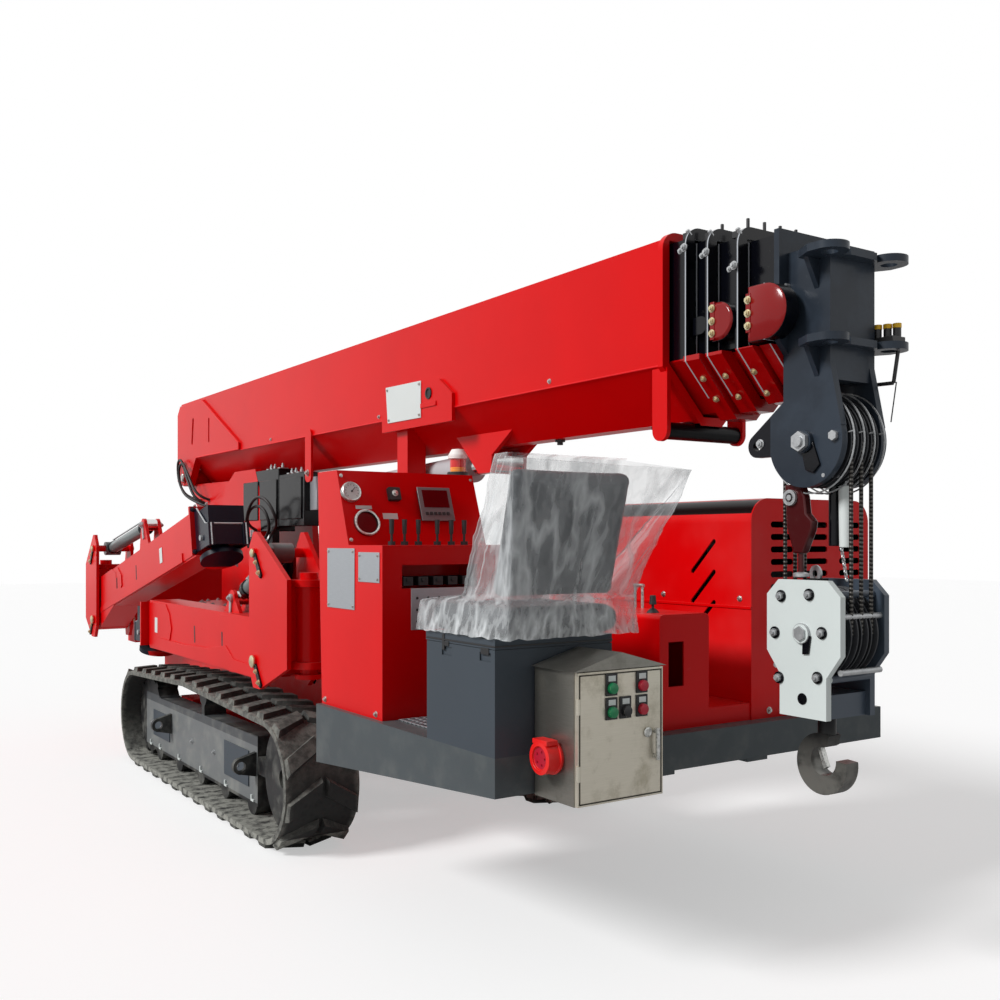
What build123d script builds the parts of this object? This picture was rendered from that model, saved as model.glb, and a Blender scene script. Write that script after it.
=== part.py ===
from build123d import *
from math import asin, atan2, cos, degrees, hypot, pi, radians, sin
import os

# Crawler crane with a telescopic boom and four folding outriggers.
# Millimetres. +X runs towards the boom head, +Y to the left side, +Z up.
# The origin lies on the ground, at the middle of the overall length and width.

# General
half_width = 885
rear_end = -3005
seat_gap = 0.3
pin_gap = 0.5

# Tracks
track_width = 337
track_radius = 290
front_wheel_x = 526
rear_wheel_x = -1572
carrier_x = -600
carrier_rise = 600
belt_thickness = 24
lug_height = 23
lug_length = 84
lug_count = 32
lug_slant = 96

# Track frames
track_frame_width = 118
track_frame_x = (-1700, 190)
track_frame_z = (95, 425)
roller_radius = 62
roller_pitch = 375
roller_count = 5
carrier_radius = 56
sprocket_teeth = 13
idler_hub_radius = 127
lash_eye_hole = 22
lash_eye_thickness = 28
lash_eye_x = (-1158, 165)
lash_eye_reach = 75

# Chassis
cross_tube_x = (-1250, -700, 50)
cross_tube_half = 110
spine_half_width = 300
spine_bottom = 390
spine_top = 690
spine_rear = -2920
cross_beam_half_width = 540
cross_beam_top = 1180
slew_x = -1600
pedestal_radius = 400
pedestal_height = 200
fork_low = 785
fork_high = 1138
fork_thickness = 30
fork_radius = 80
fork_neck = 120
swivel_pin_radius = 40
swivel_y = half_width - 170

# Deck and what stands on it
deck_rear = 1100
deck_front = 2362
deck_top = 703
deck_plate = 12
deck_skirt = 10
skirt_rear_z = 477
skirt_front_z = 585

console_y = (-half_width + 25, -half_width + 633)
console_profile = ((1097, 0), (1607, 0), (1607, 618), (1336, 618), (1232, 903), (1058, 903))
console_slot = (316, 84)
console_slot_inset = 78
console_slot_drop = 70
console_slot_depth = 130
lever_y = (119, 173, 232, 314, 376, 434)
lever_height = 96

seat_box_x = (1965, 2362)
seat_box_y = (-half_width, -half_width + 440)
seat_box_height = 345
seat_box_notches = ((95, 155, 40, 68), (315, 375, 40, 66))
seat_box_notch_depth = 5
seat_width = 470
seat_y = -half_width + 240
cushion_thickness = 95

hood_x = (1100, 2305)
hood_y = (half_width - 645, half_width)
hood_height = 787
hood_wall = 6
hood_corner = 85
hood_slot_y = half_width - 298
hood_slot_columns = 187
hood_slot_rows = 8
hood_slot_pitch = 45
hood_slot_length = 120
hood_slot_width = 22
hood_slash_x = 2066
hood_slash_drop = 211
hood_slash_pitch = 112
hood_slash_length = 175
hood_slash_width = 18

cover_x = (1750, 2300)
cover_y = (-189, 37)
cover_height = 387
cover_window_y = (-149, -80)
cover_window_z = (848, 998)

cabinet_x = (2370, 2560)
cabinet_y = (-half_width + 137, -half_width + 460)
cabinet_z = (583, 967)
cabinet_wall = 4
door_thickness = 16
roof_rise = 48
hinge_knuckle_radius = 7
hinge_knuckle_length = 44
button_radius = 15
# Buttons by their place across and under the top of the cabinet
button_places = ((-40, 53), (75, 53), (-40, 122), (12, 122), (75, 122))

# Turret
ring_radius = 470
ring_height = 50
cheek_inner = 150
cheek_thickness = 40

# Boom
boom_tail = -2900
boom_front = 2350
boom_half_width = 200
boom_top = 2330
boom_knee = boom_top - 415
boom_bottom = boom_top - 585
boom_bottom_half = 40
boom_wall = 8
boom_gap = 10
section_rear = -2560
section_fronts = (2450, 2530, 2640, 2750)
collar_plate = 12
collar_height = 42
collar_shoulder = 60
guard_length = 60
guard_top = 12
tail_opening = 285
tail_doubler = 12

# What carries the boom
boom_pivot_x = -2730
boom_pivot_z = boom_bottom + 45
boom_pin_radius = 40
arm_bottom = boom_bottom - 205
derrick_base_x = -1450
derrick_base_z = boom_bottom - 175
drum_radius = 95

# Derrick cylinder
rod_pin_x = 1090
rod_pin_z = boom_bottom - 65
derrick_barrel_radius = 62
derrick_rod_radius = 40
derrick_rod_showing = 262
derrick_eye_radius = 52
rod_bracket_inner = 70
rod_bracket_thickness = 22

# Boom head and hook
head_pin_x = 2832
head_pin_z = boom_bottom - 115
head_round = 135
head_plate_inner = 76
head_plate_thickness = 24
sheave_radius = 136
sheave_groove = 20
sheave_width = 34
sheave_y = (-45, 0, 45)
rope_radius = 6
block_inner = 88
block_thickness = 22
block_width = 273
block_top = head_pin_z - 408
block_bottom = head_pin_z - 813
hook_bottom = head_pin_z - 1051

# Outriggers: one row for each pair.
# side of the swivel as seen from the pin, pin x, swivel reach, tilt in degrees,
# beam underside and height, beam length, ram lug along and above the pin
leg_columns = ("name", "way", "pin_x", "reach", "tilt", "under", "height", "length", "lug_u", "lug_w")
leg_rows = (
    ("front", -1, 320, 320, 0, -92, 283, 1826, 510, 262),
    ("rear", 1, -2740, 185, 11.6, 31, 245, 2180, 1060, 438),
)
leg_pin_z = 791
ram_pin_rise = 490
leg_pin_radius = 30
ram_pin_radius = 22
beam_half_width = 85
beam_wall = 10
inner_gap = 6
bracket_inner = 105
bracket_thickness = 20
leg_travel = 600
end_plate = 260
foot_length = 190
float_radius = 110
float_thickness = 25
float_drop = 150
foot_offset = 120
ram_barrel_radius = 38
ram_rod_radius = 22

os.makedirs("parts", exist_ok=True)


# A plane whose normal points to the right side of the crane, at a given Y
def side(y):
    return Plane.XZ.offset(-y)


def box_between(x, y, z, mode=Mode.ADD):
    """A box from its limits along the three axes."""
    with Locations(((x[0] + x[1]) / 2, (y[0] + y[1]) / 2, (z[0] + z[1]) / 2)):
        Box(x[1] - x[0], y[1] - y[0], z[1] - z[0], mode=mode)


def beam_down(name):
    """The angle below level at which a fully extended leg stands on the ground."""
    leg = dict(zip(leg_columns, next(row for row in leg_rows if row[0] == name)))
    along = leg["length"] + foot_offset + leg_travel
    below = leg_pin_z + leg["under"] + leg["height"] / 2 - float_drop - float_thickness
    return degrees(asin(below / along))


# Tracks: a belt over the idler, the sprocket and a carrier roller, with slanted lugs
track_mid_y = half_width - track_width / 2
belt_outer = track_radius - lug_height
belt_inner = belt_outer - belt_thickness
run = front_wheel_x - rear_wheel_x


def belt_outline(depth):
    """The belt's loop seen from the side, at a given depth under its outside."""
    with BuildSketch(Plane.XZ, mode=Mode.PRIVATE) as outline:
        with BuildLine():
            for x in (front_wheel_x, rear_wheel_x):
                CenterArc((x, track_radius), belt_outer - depth, 0, 360)
            carrier_outer = carrier_radius + belt_thickness
            CenterArc((carrier_x, carrier_rise - carrier_outer), carrier_outer - depth, 0, 360)
        make_hull()
    return outline.sketch


lug_root = 8
with BuildPart() as track_lug:
    with BuildSketch(Plane.XY.offset(-lug_root)):
        with BuildLine():
            Polyline(
                (-lug_length / 2 - lug_slant / 2, 8),
                (lug_length / 2 - lug_slant / 2, 8),
                (lug_length / 2 + lug_slant / 2, track_width / 2 - 6),
                (-lug_length / 2 + lug_slant / 2, track_width / 2 - 6),
                close=True,
            )
        make_face()
    extrude(amount=lug_height + lug_root, taper=12)
    mirror(about=Plane.XZ)

# Lugs at even steps along the loop, each standing square to it
loop = belt_outline(0).wire()
loop_centre = Vector((front_wheel_x + rear_wheel_x) / 2, 0, track_radius)
lug_places = []
for i in range(lug_count):
    step = (i + 0.5) / lug_count
    place = loop.position_at(step)
    tangent = loop.tangent_at(step)
    outward = Vector(tangent.Z, 0, -tangent.X)
    if outward.dot(place - loop_centre) < 0:
        outward = -outward
    turn = degrees(atan2(outward.X, outward.Z))
    lug_places.append(Location((place.X, -track_mid_y, place.Z), (0, turn, 0)))

with BuildPart() as right_track:
    with BuildSketch(side(-half_width + track_width)):
        add(belt_outline(0))
        add(belt_outline(belt_thickness), mode=Mode.SUBTRACT)
    extrude(amount=track_width)
    with Locations(*lug_places):
        add(track_lug.part)
    split(bisect_by=Plane.XY, keep=Keep.TOP)
right_track.part.label = "right_track"
export_step(right_track.part, "parts/right_track.step")

with BuildPart() as left_track:
    mirror(right_track.part, about=Plane.XZ)
left_track.part.label = "left_track"
export_step(left_track.part, "parts/left_track.step")

# Track frames: box frame, sprocket behind, idler in front, rollers and lashing eyes
frame_inner_y = track_mid_y - track_frame_width / 2
frame_outer_y = track_mid_y + track_frame_width / 2
with BuildPart() as right_track_frame:
    with BuildSketch(side(-frame_inner_y)):
        with BuildLine():
            Polyline(
                (track_frame_x[0], track_frame_z[0] + 45),
                (track_frame_x[0] + 60, track_frame_z[0]),
                (track_frame_x[1], track_frame_z[0]),
                (track_frame_x[1], track_frame_z[1]),
                (track_frame_x[0] + 60, track_frame_z[1] - 20),
                (track_frame_x[0], track_frame_z[1] - 60),
                close=True,
            )
        make_face()
        # Idler with its yoke
        with Locations((front_wheel_x, track_radius)):
            Circle(belt_inner - seat_gap)
        with Locations(((track_frame_x[1] + front_wheel_x) / 2, track_radius)):
            Rectangle(front_wheel_x - track_frame_x[1], 80)
        # Sprocket
        with Locations((rear_wheel_x, track_radius)):
            Circle(belt_inner - 26)
            with PolarLocations(belt_inner - 20, sprocket_teeth):
                Rectangle(30, 36)
        # Bottom rollers and the carrier roller with its post
        for i in range(roller_count):
            roller_x = track_frame_x[1] - roller_radius - 10 - i * roller_pitch
            with Locations((roller_x, track_radius - belt_inner + seat_gap + roller_radius)):
                Circle(roller_radius)
        with Locations((carrier_x, carrier_rise - belt_thickness - carrier_radius)):
            Circle(carrier_radius - seat_gap)
        with Locations((carrier_x, carrier_rise - belt_thickness - carrier_radius - 60)):
            Rectangle(44, 100)
    extrude(amount=track_frame_width)
    # Hub disc of the idler
    with BuildSketch(side(-frame_outer_y)):
        with Locations((front_wheel_x, track_radius)):
            Circle(idler_hub_radius)
            Circle(40, mode=Mode.SUBTRACT)
    extrude(amount=14)
    # Lashing eyes, plates square to the frame
    for x in lash_eye_x:
        with BuildSketch(Plane.YZ.offset(x - lash_eye_thickness / 2)):
            with BuildLine():
                Polyline(
                    (-frame_outer_y + 2, track_radius + 60),
                    (-frame_outer_y - lash_eye_reach, track_radius + 38),
                    (-frame_outer_y - lash_eye_reach, track_radius - 38),
                    (-frame_outer_y + 2, track_radius - 55),
                    close=True,
                )
            make_face()
            with Locations((-frame_outer_y - lash_eye_reach, track_radius)):
                Circle(38)
                Circle(lash_eye_hole, mode=Mode.SUBTRACT)
        extrude(amount=lash_eye_thickness)
right_track_frame.part.label = "right_track_frame"
export_step(right_track_frame.part, "parts/right_track_frame.step")

with BuildPart() as left_track_frame:
    mirror(right_track_frame.part, about=Plane.XZ)
left_track_frame.part.label = "left_track_frame"
export_step(left_track_frame.part, "parts/left_track_frame.step")

# Chassis: spine, cross beams, swivel forks, slewing pedestal
front_swivel_x = leg_rows[0][2] + leg_rows[0][3]
rear_swivel_x = leg_rows[1][2] - leg_rows[1][3]
with BuildPart() as chassis_frame:
    box_between(
        (spine_rear, deck_rear - seat_gap), (-spine_half_width, spine_half_width), (spine_bottom, spine_top)
    )
    for x in cross_tube_x:
        box_between((x - cross_tube_half, x + cross_tube_half), (-frame_inner_y, frame_inner_y), (200, spine_bottom + 30))
    box_between(
        (rear_end, rear_end + 190), (-cross_beam_half_width, cross_beam_half_width), (610, cross_beam_top)
    )
    box_between(
        (front_swivel_x - 200, front_swivel_x + 80),
        (-cross_beam_half_width, cross_beam_half_width),
        (650, cross_beam_top),
    )
    with BuildSketch(Plane.XY.offset(spine_top)):
        with Locations((slew_x, 0)):
            Circle(pedestal_radius)
    extrude(amount=pedestal_height)
    for x in (front_swivel_x, rear_swivel_x):
        for y in (-swivel_y, swivel_y):
            inward = -1 if y > 0 else 1
            neck = swivel_y - cross_beam_half_width + 5
            with BuildSketch(Plane.XY.offset(fork_low), Plane.XY.offset(fork_high)):
                with Locations((x, y)):
                    Circle(fork_radius)
                with Locations((x, y + inward * neck / 2)):
                    Rectangle(fork_neck, neck)
            extrude(amount=fork_thickness)
            with BuildSketch(Plane.XY.offset(fork_low - 30)):
                with Locations((x, y)):
                    Circle(swivel_pin_radius)
            extrude(amount=fork_high - fork_low + fork_thickness + 60)
            with BuildSketch(Plane.XY.offset(fork_low - 45)):
                with Locations((x, y)):
                    Circle(swivel_pin_radius + 22)
            extrude(amount=20)
chassis_frame.part.label = "chassis_frame"
export_step(chassis_frame.part, "parts/chassis_frame.step")

# Deck: top plate with a skirt all round, the side skirts tapering to the front
with BuildPart() as deck:
    with BuildSketch(side(half_width)):
        with BuildLine():
            Polyline(
                (deck_rear, deck_top),
                (deck_front, deck_top),
                (deck_front, skirt_front_z),
                (deck_rear, skirt_rear_z),
                close=True,
            )
        make_face()
    extrude(amount=2 * half_width)
    box_between(
        (deck_rear + deck_skirt, deck_front - deck_skirt),
        (-half_width + deck_skirt, half_width - deck_skirt),
        (deck_top - deck_plate, deck_top),
    )
    with BuildSketch(side(half_width - deck_skirt)):
        with BuildLine():
            Polyline(
                (deck_rear + deck_skirt, deck_top - deck_plate),
                (deck_front - deck_skirt, deck_top - deck_plate),
                (deck_front - deck_skirt, skirt_rear_z - 50),
                (deck_rear + deck_skirt, skirt_rear_z - 50),
                close=True,
            )
        make_face()
    extrude(amount=2 * (half_width - deck_skirt), mode=Mode.SUBTRACT)
    # The spine's front end carries two rails under the plate
    for y in (-220, 220):
        box_between((deck_rear + deck_skirt, deck_front - deck_skirt), (y - 50, y + 50), (skirt_rear_z + 93, deck_top - 6))
deck.part.label = "deck"
export_step(deck.part, "parts/deck.step")

# Operator's console
console_width = console_y[1] - console_y[0]
with BuildPart() as console:
    with BuildSketch(side(console_y[1])):
        with BuildLine():
            Polyline(*[(x, deck_top + z) for x, z in console_profile], close=True)
        make_face()
    extrude(amount=console_width)
    slot_top = deck_top + console_profile[2][1] - console_slot_drop
    front_x = console_profile[1][0]
    box_between(
        (front_x - console_slot_depth, front_x + 1),
        (console_y[0] + console_slot_inset, console_y[0] + console_slot_inset + console_slot[0]),
        (slot_top - console_slot[1], slot_top),
        mode=Mode.SUBTRACT,
    )
console.part.label = "console"
export_step(console.part, "parts/console.step")

# Instruments on the console: gauge, sight glass, switch and display
with BuildPart() as console_gauges:
    slope = Plane(
        origin=(
            (console_profile[3][0] + console_profile[4][0]) / 2,
            (console_y[0] + console_y[1]) / 2,
            deck_top + (console_profile[3][1] + console_profile[4][1]) / 2,
        ),
        x_dir=(0, 1, 0),
        z_dir=(285, 0, 104),
    )
    # Pressure gauge, switch and display
    with BuildSketch(slope):
        with Locations((-264, 59)):
            Circle(36)
        with Locations((-81, 55)):
            RectangleRounded(50, 54, 5)
        with Locations((95, 12)):
            RectangleRounded(137, 130, 6)
    extrude(amount=16)
    # Round sight glass, a ring standing off the face
    with BuildSketch(slope):
        with Locations((-216, -64)):
            Circle(52)
            Circle(43, mode=Mode.SUBTRACT)
    extrude(amount=12)
console_gauges.part.label = "console_gauges"
export_step(console_gauges.part, "parts/console_gauges.step")

# Control levers: base, rod and grip, in a row on the console's shelf
shelf_x = (console_profile[2][0] + console_profile[3][0]) / 2 - 20
shelf_z = deck_top + console_profile[2][1]
with BuildPart() as control_levers:
    for along_shelf in lever_y:
        y = console_y[0] + along_shelf
        with BuildSketch(Plane.XY.offset(shelf_z)):
            with Locations((shelf_x, y)):
                Circle(14)
        extrude(amount=14)
        with BuildSketch(Plane.XY.offset(shelf_z)):
            with Locations((shelf_x, y)):
                Circle(5)
        extrude(amount=lever_height / 2)
        with BuildSketch(Plane.XY.offset(shelf_z + lever_height / 2 - 6)):
            with Locations((shelf_x, y)):
                Circle(8)
        extrude(amount=lever_height / 2 + 6, taper=-2)
control_levers.part.label = "control_levers"
export_step(control_levers.part, "parts/control_levers.step")

# Warning beacon on the console
beacon_x = 1185
beacon_y = -292
beacon_radius = 32
beacon_base = deck_top + console_profile[5][1]
with BuildPart() as beacon:
    with BuildSketch(Plane.XZ.offset(-beacon_y)):
        with BuildLine():
            Polyline(
                (beacon_x, beacon_base),
                (beacon_x + beacon_radius, beacon_base),
                (beacon_x + beacon_radius, beacon_base + 70),
                (beacon_x + beacon_radius + 8, beacon_base + 70),
                (beacon_x + beacon_radius + 8, beacon_base + 84),
                (beacon_x + beacon_radius - 6, beacon_base + 108),
                (beacon_x, beacon_base + 112),
                close=True,
            )
        make_face()
    revolve(axis=Axis((beacon_x, beacon_y, 0), (0, 0, 1)))
beacon.part.label = "beacon"
export_step(beacon.part, "parts/beacon.step")

# Seat: box with a lid, cushion and reclined backrest
seat_top = deck_top + seat_box_height
with BuildPart() as seat_box:
    box_between(seat_box_x, seat_box_y, (deck_top, seat_top - 30))
    box_between(
        (seat_box_x[0] - 6, seat_box_x[1]), (seat_box_y[0], seat_box_y[1]), (seat_top - 28, seat_top)
    )
    box_between(
        (seat_box_x[0] + 4, seat_box_x[1] - 4),
        (seat_box_y[0] + 4, seat_box_y[1] - 4),
        (seat_top - 32, seat_top - 26),
    )
    # Shallow notches under the lid, on the outer side
    for start, end, below, above in seat_box_notches:
        box_between(
            (seat_box_x[0] + start, seat_box_x[0] + end),
            (seat_box_y[0] - 1, seat_box_y[0] + seat_box_notch_depth),
            (seat_top - above, seat_top - below),
            mode=Mode.SUBTRACT,
        )
seat_box.part.label = "seat_box"
export_step(seat_box.part, "parts/seat_box.step")

cushion_x = (1930, 2400)
with BuildPart() as seat_cushion:
    with BuildSketch(Plane.XY.offset(seat_top + seat_gap)):
        with Locations(((cushion_x[0] + cushion_x[1]) / 2, seat_y)):
            RectangleRounded(cushion_x[1] - cushion_x[0], seat_width, 50)
    extrude(amount=cushion_thickness)
    fillet(seat_cushion.edges().group_by(Axis.Z)[-1], radius=30)
seat_cushion.part.label = "seat_cushion"
export_step(seat_cushion.part, "parts/seat_cushion.step")

back_base = seat_top + seat_gap + cushion_thickness + seat_gap
back_lean = 15
back_height = 420
back_thickness = 85
with BuildPart() as seat_backrest:
    back_plane = Plane(
        origin=(cushion_x[1] - 40, seat_y, back_base),
        x_dir=(0, 1, 0),
        z_dir=(cos(radians(back_lean)), 0, -sin(radians(back_lean))),
    )
    with BuildSketch(back_plane):
        with Locations((0, back_height / 2)):
            RectangleRounded(seat_width, back_height, 60)
    extrude(amount=-back_thickness)
    split(bisect_by=Plane.XY.offset(back_base), keep=Keep.TOP)
seat_backrest.part.label = "seat_backrest"
export_step(seat_backrest.part, "parts/seat_backrest.step")

# Engine hood: a shell with rounded shoulders and rows of slots
hood_top = deck_top + hood_height
with BuildPart() as engine_hood:
    with BuildSketch(Plane.YZ.offset(hood_x[0])):
        with BuildLine():
            Polyline(
                (hood_y[0], deck_top),
                (hood_y[0], hood_top),
                (hood_y[1], hood_top),
                (hood_y[1], deck_top),
                close=True,
            )
        make_face()
        fillet(vertices().group_by(Axis.Y)[-1], radius=hood_corner)
    extrude(amount=hood_x[1] - hood_x[0])
    offset(
        amount=-hood_wall,
        openings=engine_hood.faces().sort_by(Axis.Z)[0],
        kind=Kind.INTERSECTION,
    )
    # Three columns of slots in the front, and slanted slots in the inner side
    with BuildSketch(Plane.YZ.offset(hood_x[1] - 2 * hood_wall)):
        with Locations((hood_slot_y, hood_top - 94 - 3.5 * hood_slot_pitch)):
            with GridLocations(hood_slot_columns, hood_slot_pitch, 3, hood_slot_rows):
                SlotOverall(hood_slot_length, hood_slot_width)
    extrude(amount=3 * hood_wall, mode=Mode.SUBTRACT)
    with BuildSketch(side(hood_y[0] + 2 * hood_wall)):
        for row in range(3):
            with Locations((hood_slash_x, hood_top - hood_slash_drop - hood_slash_pitch * row)):
                SlotOverall(hood_slash_length, hood_slash_width, rotation=45)
    extrude(amount=3 * hood_wall, mode=Mode.SUBTRACT)
engine_hood.part.label = "engine_hood"
export_step(engine_hood.part, "parts/engine_hood.step")

engine_clearance = 110
engine_x = (hood_x[0] + 200, hood_x[1] - 250)
engine_height = hood_height - 267
with BuildPart() as engine_block:
    box_between(engine_x, (hood_y[0] + engine_clearance, hood_y[1] - engine_clearance), (deck_top, deck_top + engine_height))
    box_between(
        (engine_x[0] + 150, engine_x[1] - 150),
        (hood_y[0] + engine_clearance + 70, hood_y[1] - engine_clearance - 70),
        (deck_top + engine_height - 20, deck_top + engine_height + 120),
    )
engine_block.part.label = "engine_block"
export_step(engine_block.part, "parts/engine_block.step")

# Low cover between the seat and the hood, a shell with a flange and a window in front
with BuildPart() as low_cover:
    box_between((cover_x[0], cover_x[1]), cover_y, (deck_top, deck_top + cover_height))
    fillet(low_cover.edges().filter_by(Axis.X).group_by(Axis.Z)[-1], radius=18)
    offset(
        amount=-hood_wall,
        openings=low_cover.faces().sort_by(Axis.Z)[0],
        kind=Kind.INTERSECTION,
    )
    box_between((cover_x[1] - 2 * hood_wall, cover_x[1] + 1), cover_window_y, cover_window_z, mode=Mode.SUBTRACT)
    box_between(
        (cover_x[0], cover_x[1]), (cover_y[1] - 5, hood_y[0] - seat_gap), (deck_top, deck_top + 60)
    )
low_cover.part.label = "low_cover"
export_step(low_cover.part, "parts/low_cover.step")

# Control cabinet on the front of the deck, with its mounting bracket and pitched roof
cabinet_mid_y = (cabinet_y[0] + cabinet_y[1]) / 2
with BuildPart() as control_cabinet:
    box_between(cabinet_x, cabinet_y, cabinet_z)
    with BuildSketch(Plane.YZ.offset(cabinet_x[0])):
        with BuildLine():
            Polyline(
                (cabinet_y[0] - 14, cabinet_z[1]),
                (cabinet_mid_y, cabinet_z[1] + roof_rise),
                (cabinet_y[1] + 14, cabinet_z[1]),
                close=True,
            )
        make_face()
    extrude(amount=cabinet_x[1] - cabinet_x[0] + door_thickness)
    box_between(
        (cabinet_x[0] + cabinet_wall, cabinet_x[1] + 1),
        (cabinet_y[0] + cabinet_wall, cabinet_y[1] - cabinet_wall),
        (cabinet_z[0] + cabinet_wall, cabinet_z[1] - cabinet_wall),
        mode=Mode.SUBTRACT,
    )
    # Bracket that hangs it on the deck's front edge
    box_between(
        (deck_front + seat_gap, cabinet_x[0] + 1),
        (cabinet_y[0] + 40, cabinet_y[1] - 40),
        (cabinet_z[0] + 10, deck_top - 15),
    )
control_cabinet.part.label = "control_cabinet"
export_step(control_cabinet.part, "parts/control_cabinet.step")

with BuildPart() as cabinet_door:
    box_between(
        (cabinet_x[1] + seat_gap, cabinet_x[1] + door_thickness),
        (cabinet_y[0] + 2, cabinet_y[1] - 2),
        (cabinet_z[0] + 2, cabinet_z[1] - 3),
    )
    # Five push buttons
    with BuildSketch(Plane.YZ.offset(cabinet_x[1] + door_thickness)):
        for across, under_top in button_places:
            with Locations((cabinet_mid_y + across, cabinet_z[1] - under_top)):
                Circle(button_radius)
    extrude(amount=16)
    # Two hinge knuckles on the door's axis
    for z in (cabinet_z[0] + 75, cabinet_z[1] - 120):
        with BuildSketch(Plane.XY.offset(z)):
            with Locations((cabinet_x[1] + door_thickness, cabinet_y[0] + 2)):
                Circle(hinge_knuckle_radius)
        extrude(amount=hinge_knuckle_length)
cabinet_door.part.label = "cabinet_door"
export_step(cabinet_door.part, "parts/cabinet_door.step")

with BuildPart() as power_inlet:
    with BuildSketch(side(cabinet_y[0] - seat_gap)):
        with Locations(((cabinet_x[0] + cabinet_x[1]) / 2, cabinet_z[0] + 130)):
            Circle(48)
    extrude(amount=52)
    with BuildSketch(side(cabinet_y[0] - seat_gap - 52)):
        with Locations(((cabinet_x[0] + cabinet_x[1]) / 2, cabinet_z[0] + 130)):
            Circle(36)
    extrude(amount=-30, mode=Mode.SUBTRACT)
power_inlet.part.label = "power_inlet"
export_step(power_inlet.part, "parts/power_inlet.step")

# Boom rest post on the front cross beam
rest_x = 500
rest_y = -130
rest_top = boom_bottom - 170
with BuildPart() as boom_rest_post:
    box_between((rest_x - 45, rest_x + 45), (rest_y - 45, rest_y + 45), (cross_beam_top, rest_top - 15))
    box_between((rest_x - 70, rest_x + 70), (rest_y - 55, rest_y + 55), (cross_beam_top, cross_beam_top + 15))
    box_between((rest_x - 55, rest_x + 55), (rest_y - 50, rest_y + 50), (rest_top - 20, rest_top))
boom_rest_post.part.label = "boom_rest_post"
export_step(boom_rest_post.part, "parts/boom_rest_post.step")

# Turret: slewing ring, cheeks, and the arms that carry the boom
turret_base = spine_top + pedestal_height + seat_gap
cheek_top = boom_bottom + 35
arm_eye = 78
with BuildPart() as turret:
    with BuildSketch(Plane.XY.offset(turret_base)):
        with Locations((slew_x, 0)):
            Circle(ring_radius)
    extrude(amount=ring_height)
    for way in (-1, 1):
        outer = cheek_inner + cheek_thickness if way > 0 else -cheek_inner
        with BuildSketch(side(outer)):
            with BuildLine():
                Polyline(
                    (slew_x + 330, turret_base + ring_height - 1),
                    (slew_x + 330, turret_base + 300),
                    (derrick_base_x + 130, derrick_base_z + 90),
                    (derrick_base_x + 60, cheek_top),
                    (slew_x - 150, cheek_top),
                    (slew_x - 330, cheek_top - 90),
                    (slew_x - 400, arm_bottom),
                    (slew_x - 400, turret_base + ring_height - 1),
                    close=True,
                )
            make_face()
        extrude(amount=cheek_thickness)
    # Arm: two plates tied by a floor, ending in the boom pivot
    arm_outer = cheek_inner + 8
    with BuildSketch(side(arm_outer)):
        with BuildLine():
            Polyline(
                (slew_x - 300, arm_bottom),
                (slew_x - 950, arm_bottom),
                (boom_pivot_x + 30, boom_pivot_z - 150),
                (boom_pivot_x - 60, boom_pivot_z - 50),
                (boom_pivot_x + 60, boom_pivot_z - 50),
                (slew_x - 300, boom_bottom - 15),
                close=True,
            )
        make_face()
        with Locations((boom_pivot_x, boom_pivot_z)):
            Circle(arm_eye)
    extrude(amount=2 * arm_outer)
    box_between(
        (slew_x - 1010, slew_x - 200),
        (-cheek_inner + 35, cheek_inner - 35),
        (arm_bottom + 30, boom_bottom),
        mode=Mode.SUBTRACT,
    )
    # Pins for the boom and the derrick cylinder
    pin_half = boom_half_width + tail_doubler + 6
    with BuildSketch(side(pin_half)):
        with Locations((boom_pivot_x, boom_pivot_z)):
            Circle(boom_pin_radius)
    extrude(amount=2 * pin_half)
    with BuildSketch(side(cheek_inner + 2)):
        with Locations((derrick_base_x, derrick_base_z)):
            Circle(35)
    extrude(amount=2 * (cheek_inner + 2))
turret.part.label = "turret"
export_step(turret.part, "parts/turret.step")

drum_x = slew_x - 150
drum_z = 1170
with BuildPart() as winch_drum:
    with BuildSketch(side(cheek_inner - seat_gap)):
        with Locations((drum_x, drum_z)):
            Circle(drum_radius + 55)
    extrude(amount=20)
    with BuildSketch(side(-cheek_inner + seat_gap + 20)):
        with Locations((drum_x, drum_z)):
            Circle(drum_radius + 55)
    extrude(amount=20)
    with BuildSketch(side(cheek_inner - 10)):
        with Locations((drum_x, drum_z)):
            Circle(drum_radius)
    extrude(amount=2 * (cheek_inner - 10))
winch_drum.part.label = "winch_drum"
export_step(winch_drum.part, "parts/winch_drum.step")

# Boom: hexagonal tubes that slide inside one another
boom_outline = (
    (-boom_half_width, boom_top),
    (boom_half_width, boom_top),
    (boom_half_width, boom_knee),
    (boom_bottom_half, boom_bottom),
    (-boom_bottom_half, boom_bottom),
    (-boom_half_width, boom_knee),
)
nest_step = boom_wall + boom_gap


def tube_outline(inset, shoulder=0):
    """The boom's outline, drawn in by a given distance, its top corners rounded or sharp."""
    with BuildSketch(Plane.XY, mode=Mode.PRIVATE) as outline:
        with BuildLine():
            Polyline(*boom_outline, close=True)
        make_face()
        if inset:
            offset(amount=-inset, kind=Kind.INTERSECTION)
        if shoulder:
            fillet(outline.vertices().group_by(Axis.Y)[-1], radius=shoulder)
    return outline.sketch


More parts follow.
